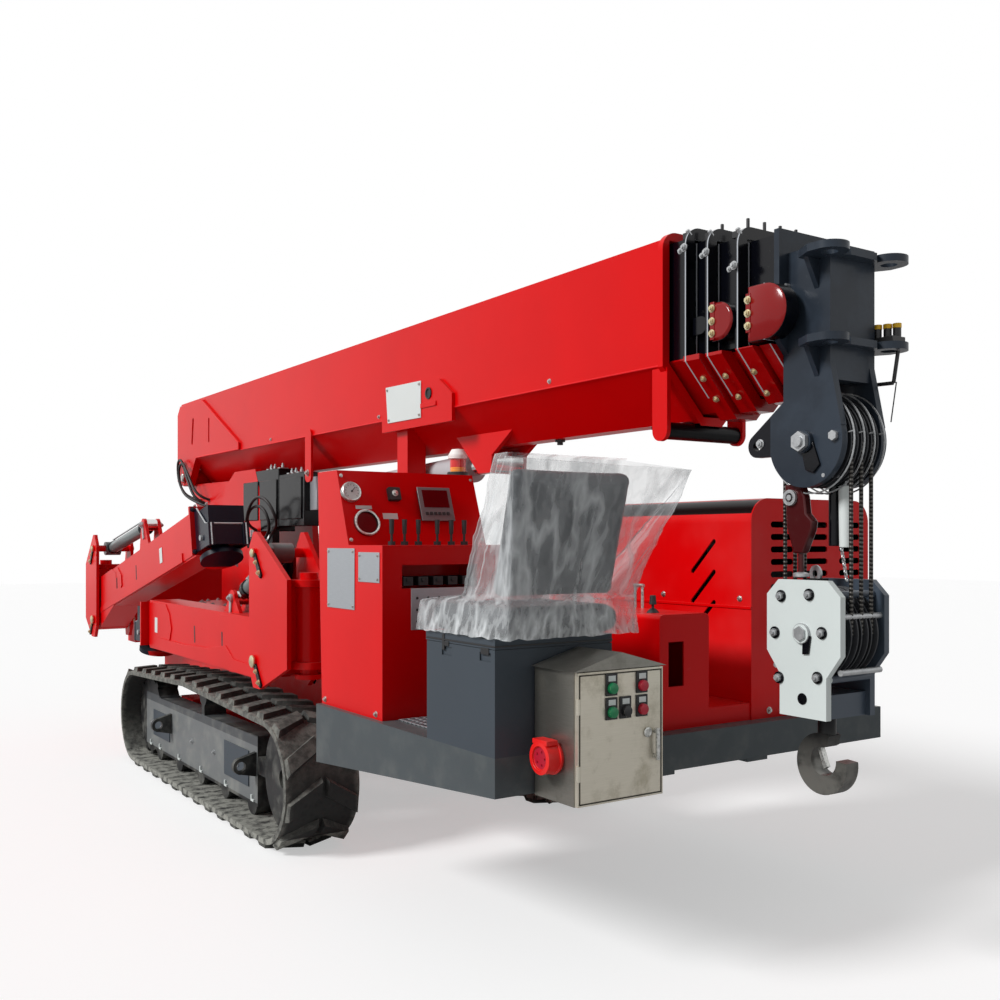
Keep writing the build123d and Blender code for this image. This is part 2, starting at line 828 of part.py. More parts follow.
bore_outline = tube_outline(boom_wall)
tail_cut_front = boom_pivot_x + arm_eye + 40
hose_strip_x = -530
with BuildPart() as boom_base:
    with BuildSketch(Plane.YZ.offset(boom_tail + 160)):
        add(tube_outline(0))
        add(bore_outline, mode=Mode.SUBTRACT)
    extrude(amount=boom_front - boom_tail - 160)
    # Front collar
    with BuildSketch(Plane.YZ.offset(boom_front - 2 * collar_plate)):
        add(tube_outline(-collar_height / 2, collar_shoulder))
        add(bore_outline, mode=Mode.SUBTRACT)
    extrude(amount=2 * collar_plate)
    # The underside opens above the pivot
    box_between(
        (boom_tail, tail_cut_front),
        (-boom_half_width - 5, boom_half_width + 5),
        (boom_bottom - 5, boom_bottom + tail_opening),
        mode=Mode.SUBTRACT,
    )
    # Tail plates, one each side, that carry the pivot
    for way in (-1, 1):
        outer = boom_half_width if way > 0 else -boom_half_width + 36
        with BuildSketch(side(outer)):
            with BuildLine():
                Polyline(
                    (boom_tail, boom_pivot_z - 20),
                    (boom_tail, boom_top - 60),
                    (boom_tail + 60, boom_top),
                    (boom_tail + 700, boom_top),
                    (boom_tail + 420, boom_knee),
                    (boom_pivot_x + 90, boom_pivot_z - 60),
                    (boom_pivot_x - 60, boom_pivot_z - 60),
                    close=True,
                )
            make_face()
            with Locations((boom_pivot_x, boom_pivot_z)):
                Circle(boom_pin_radius + pin_gap, mode=Mode.SUBTRACT)
        extrude(amount=36)
    # Doubler plates outside them, each with two long slots
    for way in (-1, 1):
        outer = boom_half_width + tail_doubler if way > 0 else -boom_half_width + 1
        with BuildSketch(side(outer)):
            with BuildLine():
                Polyline(
                    (boom_tail, boom_pivot_z - 20),
                    (boom_tail, boom_top - 75),
                    (boom_tail + 60, boom_top - 15),
                    (boom_tail + 545, boom_top - 15),
                    (boom_tail + 1280, boom_knee + 45),
                    (boom_tail + 1280, boom_knee + 4),
                    (boom_tail + 420, boom_knee + 4),
                    (boom_pivot_x + 90, boom_pivot_z - 55),
                    (boom_pivot_x - 60, boom_pivot_z - 55),
                    close=True,
                )
            make_face()
            with Locations((boom_tail + 350, boom_knee + 195)):
                SlotOverall(190, 34, rotation=82, mode=Mode.SUBTRACT)
            with Locations((boom_tail + 700, boom_knee + 175)):
                SlotOverall(170, 26, rotation=90, mode=Mode.SUBTRACT)
            with Locations((boom_pivot_x, boom_pivot_z)):
                Circle(boom_pin_radius + pin_gap, mode=Mode.SUBTRACT)
        extrude(amount=tail_doubler + 1)
    # Strip that hangs beside the hoses, on the right
    with BuildSketch(side(-boom_half_width + 2)):
        with Locations((hose_strip_x, boom_knee - 110)):
            RectangleRounded(80, 290, 30)
            with Locations((0, -95)):
                Circle(16, mode=Mode.SUBTRACT)
    extrude(amount=14)
    # Foot that lands on the rest post
    box_between(
        (rest_x - 50, rest_x + 50), (rest_y - 50, rest_y + 48), (rest_top + seat_gap, boom_knee - 30)
    )
    # Side bracket with a plain plate, on the right
    with BuildSketch(side(-boom_half_width + 2)):
        with BuildLine():
            Polyline(
                (361, boom_knee - 60),
                (361, boom_knee + 60),
                (500, boom_knee + 135),
                (900, boom_knee + 135),
                (1011, boom_knee + 60),
                (1011, boom_knee - 60),
                close=True,
            )
        make_face()
    extrude(amount=18)
    # Guide roller with its lugs under the front
    roller_axis_x = boom_front - 30
    roller_axis_z = boom_bottom - 43
    for y, top in ((-207, boom_knee - 10), (142, boom_knee - 60)):
        with BuildSketch(side(y + 16)):
            with BuildLine():
                Polyline(
                    (roller_axis_x - 36, top),
                    (roller_axis_x + 36, top),
                    (roller_axis_x + 36, roller_axis_z),
                    (roller_axis_x - 36, roller_axis_z),
                    close=True,
                )
            make_face()
            with Locations((roller_axis_x, roller_axis_z)):
                Circle(36)
        extrude(amount=16)
    with BuildSketch(side(143)):
        with Locations((roller_axis_x, roller_axis_z)):
            Circle(29)
    extrude(amount=335)
    # Cut the bore clear again
    with BuildSketch(Plane.YZ.offset(tail_cut_front + 5)):
        add(bore_outline)
    extrude(amount=boom_front - tail_cut_front, mode=Mode.SUBTRACT)
boom_base.part.label = "boom_base"
export_step(boom_base.part, "parts/boom_base.step")

# Bracket for the derrick rod, two plates under the boom
with BuildPart() as derrick_bracket:
    for way in (-1, 1):
        outer = rod_bracket_inner + rod_bracket_thickness if way > 0 else -rod_bracket_inner
        with BuildSketch(side(outer)):
            with BuildLine():
                Polyline(
                    (rod_pin_x - 60, rod_pin_z - 50),
                    (rod_pin_x + 40, rod_pin_z - 50),
                    (rod_pin_x + 46, rod_pin_z + 25),
                    (rod_pin_x + 200, boom_bottom + 55),
                    (rod_pin_x - 240, boom_bottom + 55),
                    close=True,
                )
            make_face()
        extrude(amount=rod_bracket_thickness)
    with BuildSketch(Plane.YZ.offset(rod_pin_x - 300)):
        add(tube_outline(0))
    extrude(amount=600, mode=Mode.SUBTRACT)
derrick_bracket.part.label = "derrick_bracket"
export_step(derrick_bracket.part, "parts/derrick_bracket.step")

# The four inner sections, each with a front collar and rear guide pads
section_columns = ("name", "collared", "house_rear", "house_length", "house_radius", "house_depth")
section_rows = (
    ("section_2", True, 0, 0, 0, 0),
    ("section_3", True, 2458, 60, 28, 26),
    ("section_4", True, 2540, 88, 60, 40),
    ("section_5", False, 2684, 150, 84, 52),
)
house_z = boom_knee + 106
house_room = 13
head_rear_plate = 20
for i, row in enumerate(section_rows):
    name, collared, house_rear, house_length, house_radius, house_depth = row
    inset = nest_step * (i + 1)
    rear = section_rear + 25 * i
    front = section_fronts[i]
    section_limit = front + guard_length if collared else front
    if i < 2:
        section_limit = section_fronts[i + 1] - collar_plate - 8
    with BuildPart() as section:
        with BuildSketch(Plane.YZ.offset(rear)):
            add(tube_outline(inset))
            add(tube_outline(inset + boom_wall), mode=Mode.SUBTRACT)
        extrude(amount=front - rear)
        # Guide pads ride on the bore of the next tube out
        with BuildSketch(Plane.YZ.offset(rear + 20), Plane.YZ.offset(rear + 420)):
            add(tube_outline(inset - boom_gap + seat_gap))
            add(tube_outline(inset + boom_wall), mode=Mode.SUBTRACT)
        extrude(amount=60)
        outset = inset - nest_step - collar_height / 2 + 8
        # Front collar, a thin plate with round shoulders
        if collared:
            with BuildSketch(Plane.YZ.offset(front - collar_plate)):
                add(tube_outline(outset, collar_shoulder))
                add(tube_outline(inset + boom_wall), mode=Mode.SUBTRACT)
            extrude(amount=collar_plate)
        # Guard under the knee, ahead of the collar
        guard_rear = front - 1 if collared else front - guard_length + 16
        with BuildSketch(Plane.YZ.offset(guard_rear)):
            add(tube_outline(outset))
            add(tube_outline(inset + boom_wall), mode=Mode.SUBTRACT)
            with Locations((0, boom_top)):
                Rectangle(3 * boom_half_width, 2 * (boom_top - boom_knee - guard_top), mode=Mode.SUBTRACT)
        extrude(amount=min(guard_length, section_limit - guard_rear))
        # Round-ended housing on each side
        if house_length:
            half = boom_half_width - inset
            for inner in (-half + 1, half + house_depth):
                with BuildSketch(side(inner)) as house:
                    with Locations((house_rear + house_length / 2, house_z)):
                        Rectangle(house_length, 2 * house_radius)
                    fillet(house.vertices().group_by(Axis.X)[-1], radius=house_radius - 1)
                extrude(amount=house_depth + 1)
        if not collared:
            # Room for the head's rear plate
            room = boom_half_width - inset + house_room
            box_between((front, front + head_rear_plate + 1), (-room, room), (boom_bottom, boom_top), mode=Mode.SUBTRACT)
    section.part.label = name
    export_step(section.part, f"parts/{name}.step")

# Boom head: end plate, side plates, post and jib ears
head_rear = section_fronts[-1] + seat_gap
head_top = 2200
post_front = 2925
lug_x = 2646
lug_radius = 36
ear_hole = 24
ear_y = 134
ear_x = 2950
ear_radius = 55
ear_thickness = 22
ear_z = (1902, 2159)
with BuildPart() as boom_head:
    with BuildSketch(Plane.YZ.offset(head_rear)):
        add(tube_outline(nest_step * 4 - 12))
    extrude(amount=head_rear_plate)
    for way in (-1, 1):
        outer = head_plate_inner + head_plate_thickness if way > 0 else -head_plate_inner
        with BuildSketch(side(outer)):
            with BuildLine():
                Polyline(
                    (head_rear + 1, boom_knee - 60),
                    (head_rear + 1, head_top),
                    (post_front, head_top),
                    (post_front, boom_knee - 65),
                    (head_pin_x + head_round - 4, head_pin_z + 40),
                    (head_pin_x - head_round + 4, head_pin_z + 40),
                    (head_rear + 1, boom_bottom + 10),
                    close=True,
                )
            make_face()
            with Locations((head_pin_x, head_pin_z)):
                Circle(head_round)
            # Lug behind the sheaves
            with BuildLine():
                Polyline(
                    (head_rear + 1, boom_bottom + 10),
                    (lug_x - 20, head_pin_z + 30),
                    (lug_x, head_pin_z - lug_radius),
                    (head_pin_x - head_round + 20, head_pin_z - lug_radius),
                    close=True,
                )
            make_face()
            with Locations((lug_x, head_pin_z)):
                Circle(lug_radius)
                Circle(16, mode=Mode.SUBTRACT)
        extrude(amount=head_plate_thickness)
    # Closed post at the front
    box_between(
        (post_front - 60, post_front), (-head_plate_inner - 1, head_plate_inner + 1), (boom_bottom + 60, head_top)
    )
    # Pin of the head sheaves
    with BuildSketch(side(head_plate_inner + head_plate_thickness + 16)):
        with Locations((head_pin_x, head_pin_z)):
            Circle(34)
    extrude(amount=2 * (head_plate_inner + head_plate_thickness + 16))
    # Two ear plates for a jib, with gussets under them
    for z in ear_z:
        with BuildSketch(Plane.XY.offset(z)):
            with BuildLine():
                Polyline(
                    (post_front - 70, -ear_y - 20),
                    (post_front - 10, -ear_y - ear_radius),
                    (ear_x, -ear_y - ear_radius),
                    (ear_x, -ear_y + ear_radius),
                    (post_front + 40, -ear_y + ear_radius + 20),
                    (post_front + 40, ear_y - ear_radius - 20),
                    (ear_x, ear_y - ear_radius),
                    (ear_x, ear_y + ear_radius),
                    (post_front - 10, ear_y + ear_radius),
                    (post_front - 70, ear_y + 20),
                    close=True,
                )
            make_face()
            with Locations((ear_x, -ear_y), (ear_x, ear_y)):
                Circle(ear_radius)
                Circle(ear_hole, mode=Mode.SUBTRACT)
        extrude(amount=ear_thickness)
        for way in (-1, 1):
            with BuildSketch(Plane.YZ.offset(post_front - 56)):
                with BuildLine():
                    Polyline(
                        (way * (head_plate_inner + 4), z + 1),
                        (way * (ear_y + 16), z + 1),
                        (way * (head_plate_inner + 4), z - 120),
                        close=True,
                    )
                make_face()
            extrude(amount=16)
boom_head.part.label = "boom_head"
export_step(boom_head.part, "parts/boom_head.step")


# A grooved sheave about the Y axis, one for the head and one for the block
sheaves = {}
for place, bore in (("head", 34 + seat_gap), ("block", 28 + seat_gap)):
    with BuildPart() as sheave:
        with BuildSketch(Plane.XY):
            with BuildLine():
                Polyline(
                    (bore, -sheave_width / 2),
                    (sheave_radius, -sheave_width / 2),
                    (sheave_radius, -sheave_width / 2 + 5),
                    (sheave_radius - sheave_groove, -rope_radius),
                    (sheave_radius - sheave_groove, rope_radius),
                    (sheave_radius, sheave_width / 2 - 5),
                    (sheave_radius, sheave_width / 2),
                    (bore, sheave_width / 2),
                    close=True,
                )
            make_face()
        revolve(axis=Axis.Y)
    sheaves[place] = sheave.part

with BuildPart() as head_sheaves:
    with Locations(*[(head_pin_x, y, head_pin_z) for y in sheave_y]):
        add(sheaves["head"])
head_sheaves.part.label = "head_sheaves"
export_step(head_sheaves.part, "parts/head_sheaves.step")

# Hook block: two plates, sheaves between them, and the hook
block_pin_z = 1065
with BuildPart() as hook_block:
    for way in (-1, 1):
        outer = block_inner + block_thickness if way > 0 else -block_inner
        with BuildSketch(side(outer)):
            with BuildLine():
                half = block_width / 2
                Polyline(
                    (head_pin_x - half + 45, block_top),
                    (head_pin_x + half - 45, block_top),
                    (head_pin_x + half, block_top - 45),
                    (head_pin_x + half, block_top - 215),
                    (head_pin_x + half - 50, block_top - 282),
                    (head_pin_x + half - 50, block_bottom),
                    (head_pin_x - half + 50, block_bottom),
                    (head_pin_x - half + 50, block_top - 282),
                    (head_pin_x - half, block_top - 215),
                    (head_pin_x - half, block_top - 45),
                    close=True,
                )
            make_face()
        extrude(amount=block_thickness)
    with BuildSketch(side(block_inner + block_thickness + 10)):
        with Locations((head_pin_x, block_pin_z)):
            Circle(28)
    extrude(amount=2 * (block_inner + block_thickness + 10))
    # Spacer tubes between the plates
    with BuildSketch(side(block_inner + 1)):
        for x, z in ((-95, 116), (95, 116), (-80, -130), (80, -130)):
            with Locations((head_pin_x + x, block_pin_z + z)):
                Circle(11)
    extrude(amount=2 * (block_inner + 1))
    box_between(
        (head_pin_x - 70, head_pin_x + 70), (-block_inner - 1, block_inner + 1), (block_bottom, block_bottom + 70)
    )
hook_block.part.label = "hook_block"
export_step(hook_block.part, "parts/hook_block.step")

with BuildPart() as block_sheaves:
    with Locations(*[(head_pin_x, y, block_pin_z) for y in sheave_y]):
        add(sheaves["block"])
block_sheaves.part.label = "block_sheaves"
export_step(block_sheaves.part, "parts/block_sheaves.step")

rope_path_radius = sheave_radius - sheave_groove + seat_gap + rope_radius
with BuildPart() as hoist_ropes:
    with BuildSketch(Plane.XY.offset(block_pin_z)):
        for y in sheave_y:
            with Locations((head_pin_x - rope_path_radius, y), (head_pin_x + rope_path_radius, y)):
                Circle(rope_radius)
    extrude(amount=head_pin_z - block_pin_z)
hoist_ropes.part.label = "hoist_ropes"
export_step(hoist_ropes.part, "parts/hoist_ropes.step")

hook_radius = 92
hook_throat = 46
with BuildPart() as hook:
    hook_z = hook_bottom + hook_radius
    with BuildSketch(side(27)):
        with Locations((head_pin_x, hook_z)):
            Circle(hook_radius)
        with Locations((head_pin_x + 8, hook_z + 12)):
            Circle(hook_throat, mode=Mode.SUBTRACT)
        with BuildLine():
            Polyline(
                (head_pin_x + 6, hook_z + 20),
                (head_pin_x + 130, hook_z + 12),
                (head_pin_x + 130, hook_z + 130),
                (head_pin_x + 24, hook_z + 130),
                (head_pin_x + 24, hook_z + 60),
                close=True,
            )
        make_face(mode=Mode.SUBTRACT)
        with BuildLine():
            Polyline(
                (head_pin_x - 30, block_bottom - 60),
                (head_pin_x + 30, block_bottom - 60),
                (head_pin_x + 16, hook_z + 52),
                (head_pin_x - 60, hook_z + 40),
                close=True,
            )
        make_face()
    extrude(amount=54)
    with BuildSketch(Plane.XY.offset(block_bottom - 64)):
        with Locations((head_pin_x, 0)):
            Circle(27)
    extrude(amount=64 - seat_gap)
hook.part.label = "hook"
export_step(hook.part, "parts/hook.step")

# Derrick cylinder, from the turret to the boom's underside
derrick_run = hypot(rod_pin_x - derrick_base_x, rod_pin_z - derrick_base_z)
derrick_axis = Plane(
    origin=(derrick_base_x, 0, derrick_base_z),
    x_dir=(0, 1, 0),
    z_dir=(rod_pin_x - derrick_base_x, 0, rod_pin_z - derrick_base_z),
)
with BuildPart() as derrick_barrel:
    with BuildSketch(derrick_axis.offset(70)):
        Circle(derrick_barrel_radius)
    extrude(amount=(derrick_run - derrick_rod_showing) - 70)
    with BuildSketch(side(60)):
        with Locations((derrick_base_x, derrick_base_z)):
            Circle(75)
    extrude(amount=120)
    with BuildSketch(side(60)):
        with Locations((derrick_base_x, derrick_base_z)):
            Circle(35 + pin_gap)
    extrude(amount=120, mode=Mode.SUBTRACT)
    with BuildSketch(derrick_axis.offset(110)):
        Circle(derrick_rod_radius + 6)
    extrude(amount=(derrick_run - derrick_rod_showing), mode=Mode.SUBTRACT)
    with BuildSketch(derrick_axis.offset((derrick_run - derrick_rod_showing) - 40)):
        Circle(derrick_barrel_radius + 6)
        Circle(derrick_rod_radius + seat_gap, mode=Mode.SUBTRACT)
    extrude(amount=60)
derrick_barrel.part.label = "derrick_barrel"
export_step(derrick_barrel.part, "parts/derrick_barrel.step")

with BuildPart() as derrick_rod:
    with BuildSketch(derrick_axis.offset(170)):
        Circle(derrick_rod_radius)
    extrude(amount=derrick_run - 170)
    with BuildSketch(derrick_axis.offset(130)):
        Circle(derrick_rod_radius + 6 - seat_gap)
    extrude(amount=60)
    with BuildSketch(side(rod_bracket_inner - 1)):
        with Locations((rod_pin_x, rod_pin_z)):
            Circle(derrick_eye_radius)
    extrude(amount=2 * (rod_bracket_inner - 1))
derrick_rod.part.label = "derrick_rod"
export_step(derrick_rod.part, "parts/derrick_rod.step")

# Outriggers. Each leg has a swivel bracket, a hinged beam, a sliding beam with
# its foot, and a lifting ram in two pieces.
for row in leg_rows:
    leg = dict(zip(leg_columns, row))
    way = leg["way"]
    down = beam_down(leg["name"])
    for side_name, y_way in (("right", -1), ("left", 1)):
        label = f"{side_name}_{leg['name']}"
        mid_y = y_way * swivel_y
        pin_x = leg["pin_x"]
        swivel_x = pin_x - way * leg["reach"]
        level = Plane(origin=(pin_x, mid_y, leg_pin_z), x_dir=(way, 0, 0), z_dir=(0, -way, 0))
        tilt = radians(leg["tilt"])
        along = Plane(
            origin=(pin_x, mid_y, leg_pin_z), x_dir=(way * cos(tilt), 0, sin(tilt)), z_dir=(0, -way, 0)
        )
        out = -y_way * way
        reach = leg["reach"]

        with BuildPart() as bracket:
            # Outer plate, past the swivel, and inner plate, short of it
            for place, front in ((1, reach + 55), (-1, reach - 95)):
                face = bracket_inner if place * out > 0 else -bracket_inner - bracket_thickness
                with BuildSketch(level.offset(face)):
                    with BuildLine():
                        Polyline(
                            (68, -40),
                            (72, ram_pin_rise + 10),
                            (20, ram_pin_rise + 95),
                            (-20, ram_pin_rise + 95),
                            (-front, ram_pin_rise - 110),
                            (-front, 0),
                            (-60, -120),
                            (20, -120),
                            close=True,
                        )
                    make_face()
                    with Locations((0, 0), (0, ram_pin_rise)):
                        Circle(72)
                extrude(amount=bracket_thickness)
            # Web and hub
            with BuildSketch(Plane.XY.offset(fork_low + fork_thickness + seat_gap)):
                with Locations((swivel_x, mid_y)):
                    Circle(swivel_pin_radius + 22)
                with Locations((swivel_x + way * (reach - 100) / 2, mid_y)):
                    Rectangle(reach - 100, 2 * bracket_inner + 2)
            extrude(amount=fork_high - fork_low - fork_thickness - 2)
            with BuildSketch(Plane.XY.offset(fork_low)):
                with Locations((swivel_x, mid_y)):
                    Circle(swivel_pin_radius + pin_gap)
            extrude(amount=fork_high - fork_low, mode=Mode.SUBTRACT)
            # Pins of the beam and of the ram
            with BuildSketch(level.offset(-bracket_inner - bracket_thickness - 8)):
                Circle(leg_pin_radius)
                with Locations((0, ram_pin_rise)):
                    Circle(ram_pin_radius)
            extrude(amount=2 * (bracket_inner + bracket_thickness + 8))
        bracket.part.label = f"{label}_bracket"
        export_step(bracket.part, f"parts/{label}_bracket.step")

        under, height, length = leg["under"], leg["height"], leg["length"]
        mid_w = under + height / 2
        with BuildPart() as beam:
            across = Plane(
                origin=along.from_local_coords((90, mid_w, 0)), x_dir=along.z_dir, z_dir=along.x_dir
            )
            with BuildSketch(across):
                Rectangle(2 * beam_half_width, height)
            extrude(amount=length - 90)
            with BuildSketch(across.offset(200)):
                Rectangle(2 * (beam_half_width - beam_wall), height - 2 * beam_wall)
            extrude(amount=length, mode=Mode.SUBTRACT)
            # Root plates to the pin
            with BuildSketch(along.offset(-beam_half_width - 8)):
                with BuildLine():
                    Polyline(
                        (0, -70), (420, under), (520, under + 40), (520, under + height - 40), (420, under + height),
                        (60, under + height), (-50, 60),
                        close=True,
                    )
                make_face()
                Circle(72)
            extrude(amount=2 * (beam_half_width + 8))
            with BuildSketch(across.offset(200)):
                Rectangle(2 * (beam_half_width - beam_wall), height - 2 * beam_wall)
            extrude(amount=length, mode=Mode.SUBTRACT)
            with BuildSketch(along.offset(-beam_half_width - 8)):
                Circle(leg_pin_radius + pin_gap)
            extrude(amount=2 * (beam_half_width + 8), mode=Mode.SUBTRACT)
            # Ram lugs
            for w in (-1, 1):
                face = ram_barrel_radius - 6 if w > 0 else -ram_barrel_radius + 6 - 18
                with BuildSketch(along.offset(face)):
                    with BuildLine():
                        Polyline(
                            (leg["lug_u"] - 110, under + height - 2),
                            (leg["lug_u"] - 40, leg["lug_w"]),
                            (leg["lug_u"] + 40, leg["lug_w"]),
                            (leg["lug_u"] + 110, under + height - 2),
                            close=True,
                        )
                    make_face()
                    with Locations((leg["lug_u"], leg["lug_w"])):
                        Circle(40)
                extrude(amount=18)
        beam.part.label = f"{label}_beam"
        export_step(beam.part, f"parts/{label}_beam.step")

        # Sliding beam, end plate and foot
        inner_half = beam_half_width - beam_wall - inner_gap
        inner_height = height - 2 * beam_wall - 2 * inner_gap
        with BuildPart() as foot:
            with BuildSketch(across.offset(560)):
                Rectangle(2 * inner_half, inner_height)
                Rectangle(2 * (inner_half - 8), inner_height - 16, mode=Mode.SUBTRACT)
            extrude(amount=length - 90 - 560 + 40)
            with BuildSketch(across.offset(570)):
                Rectangle(2 * (inner_half + inner_gap - seat_gap), inner_height + 2 * (inner_gap - seat_gap))
            extrude(amount=40)
            with BuildSketch(across.offset(length - 90 + 30)):
                Rectangle(end_plate, end_plate)
            extrude(amount=18)
            with BuildSketch(across.offset(length - 90 + 46)):
                Rectangle(190, 190)
            extrude(amount=foot_length)
            float_place = along.from_local_coords((length + foot_offset, mid_w - float_drop, 0))
            drop = radians(down)
            level_down = along.x_dir * sin(drop) - along.y_dir * cos(drop)
            with BuildSketch(Plane(origin=float_place - level_down * 60, z_dir=level_down)):
                Circle(45)
            extrude(amount=61)
            with BuildSketch(Plane(origin=float_place, z_dir=level_down)):
                Circle(float_radius)
            extrude(amount=float_thickness)
        foot.part.label = f"{label}_foot"
        export_step(foot.part, f"parts/{label}_foot.step")

        # Lifting ram
        top = level.from_local_coords((0, ram_pin_rise, 0))
        lug = along.from_local_coords((leg["lug_u"], leg["lug_w"], 0))
        ram_length = (lug - top).length
        ram_axis = Plane(origin=top, x_dir=(0, 1, 0), z_dir=lug - top)
        barrel_end = ram_length - 95
        with BuildPart() as barrel:
            with BuildSketch(level.offset(-50)):
                with Locations((0, ram_pin_rise)):
                    Circle(46)
            extrude(amount=100)
            with BuildSketch(ram_axis.offset(30)):
                Circle(ram_barrel_radius)
            extrude(amount=barrel_end - 30)
            with BuildSketch(level.offset(-50)):
                with Locations((0, ram_pin_rise)):
                    Circle(ram_pin_radius + pin_gap)
            extrude(amount=100, mode=Mode.SUBTRACT)
            with BuildSketch(ram_axis.offset(60)):
                Circle(ram_rod_radius + 4)
            extrude(amount=ram_length, mode=Mode.SUBTRACT)
        barrel.part.label = f"{label}_ram_barrel"
        export_step(barrel.part, f"parts/{label}_ram_barrel.step")

        with BuildPart() as rod:
            with BuildSketch(ram_axis.offset(90)):
                Circle(ram_rod_radius)
            extrude(amount=ram_length - 90)
            with BuildSketch(ram_axis.offset(70)):
                Circle(ram_rod_radius + 4 - seat_gap)
            extrude(amount=30)
            with BuildSketch(along.offset(-ram_barrel_radius + 6 + 1)):
                with Locations((leg["lug_u"], leg["lug_w"])):
                    Circle(36)
            extrude(amount=2 * (ram_barrel_radius - 6 - 1))
        rod.part.label = f"{label}_ram_rod"
        export_step(rod.part, f"parts/{label}_ram_rod.step")
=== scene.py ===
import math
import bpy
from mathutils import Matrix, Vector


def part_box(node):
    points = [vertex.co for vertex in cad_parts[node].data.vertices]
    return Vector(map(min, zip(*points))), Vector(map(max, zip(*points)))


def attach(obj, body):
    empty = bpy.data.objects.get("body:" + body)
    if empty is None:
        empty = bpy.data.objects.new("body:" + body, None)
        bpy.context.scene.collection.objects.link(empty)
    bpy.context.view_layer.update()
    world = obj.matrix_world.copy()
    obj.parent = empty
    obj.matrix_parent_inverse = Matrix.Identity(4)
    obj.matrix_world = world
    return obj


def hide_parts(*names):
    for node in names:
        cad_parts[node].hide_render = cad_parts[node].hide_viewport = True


bl_info = {
    "name": "Crawler Crane Looks",
    "version": (1, 0, 0),
    "blender": (4, 5, 0),
    "location": "View3D > Sidebar > Crane",
    "description": "Dresses the packed crawler crane with finishes and fine pieces",
    "category": "Object",
}

from functools import partial

import bmesh
import bpy
from bpy.props import FloatProperty, FloatVectorProperty, IntProperty, PointerProperty
from mathutils import Matrix, Vector, noise

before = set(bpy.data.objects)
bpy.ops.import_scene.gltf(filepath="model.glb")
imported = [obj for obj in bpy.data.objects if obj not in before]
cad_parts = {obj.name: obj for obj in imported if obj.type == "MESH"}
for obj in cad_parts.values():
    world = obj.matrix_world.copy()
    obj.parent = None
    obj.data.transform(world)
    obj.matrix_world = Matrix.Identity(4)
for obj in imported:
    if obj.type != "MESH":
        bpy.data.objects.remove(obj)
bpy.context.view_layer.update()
MM = 0.001
# Front ends of the sliding sections' collars, in metres, where the painted highlight edges go
SECTION_FRONTS = (2.450, 2.530, 2.640, 2.750)
# Heights of the outrigger beams' pins and of the boom guards' upper edge, the middle line of each track, the
# hood's sheet with its paint and half the width of the boom's guide roller, in metres
BEAM_PIN_Z = 0.791
GUARD_TOP = 1.927
TRACK_LINE = 0.7165
HOOD_SHEET = 0.0055
ROLLER_HALF = 0.0298


# Shader arithmetic


class Value:
    """A node's output that takes part in Python arithmetic."""

    def __init__(self, finish, socket):
        self.finish = finish
        self.socket = socket

    def _math(self, operation, first, second):
        return self.finish.node("ShaderNodeMath", {"operation": operation}, {0: first, 1: second})

    def __add__(self, other):
        return self._math("ADD", self, other)

    __radd__ = __add__

    def __sub__(self, other):
        return self._math("SUBTRACT", self, other)

    def __rsub__(self, other):
        return self._math("SUBTRACT", other, self)

    def __mul__(self, other):
        return self._math("MULTIPLY", self, other)

    __rmul__ = __mul__

    def least(self, other):
        return self._math("MINIMUM", self, other)

    def most(self, other):
        return self._math("MAXIMUM", self, other)

    def over(self, limit):
        """1 where the value is above the limit, and 0 elsewhere."""
        return self._math("GREATER_THAN", self, limit)

    def between(self, low, high):
        """1 where the value lies between two limits, and 0 elsewhere."""
        return self.over(low) * (1 - self.over(high))

    def wave(self):
        return self._math("SINE", self, 0.0)

    def size(self):
        return self._math("ABSOLUTE", self, 0.0)

    def step(self, low, high):
        """0 up to low, 1 from high on, and a smooth rise between."""
        return self.finish.node(
            "ShaderNodeMapRange",
            {"interpolation_type": "SMOOTHSTEP"},
            {"Value": self, "From Min": low, "From Max": high},
        )


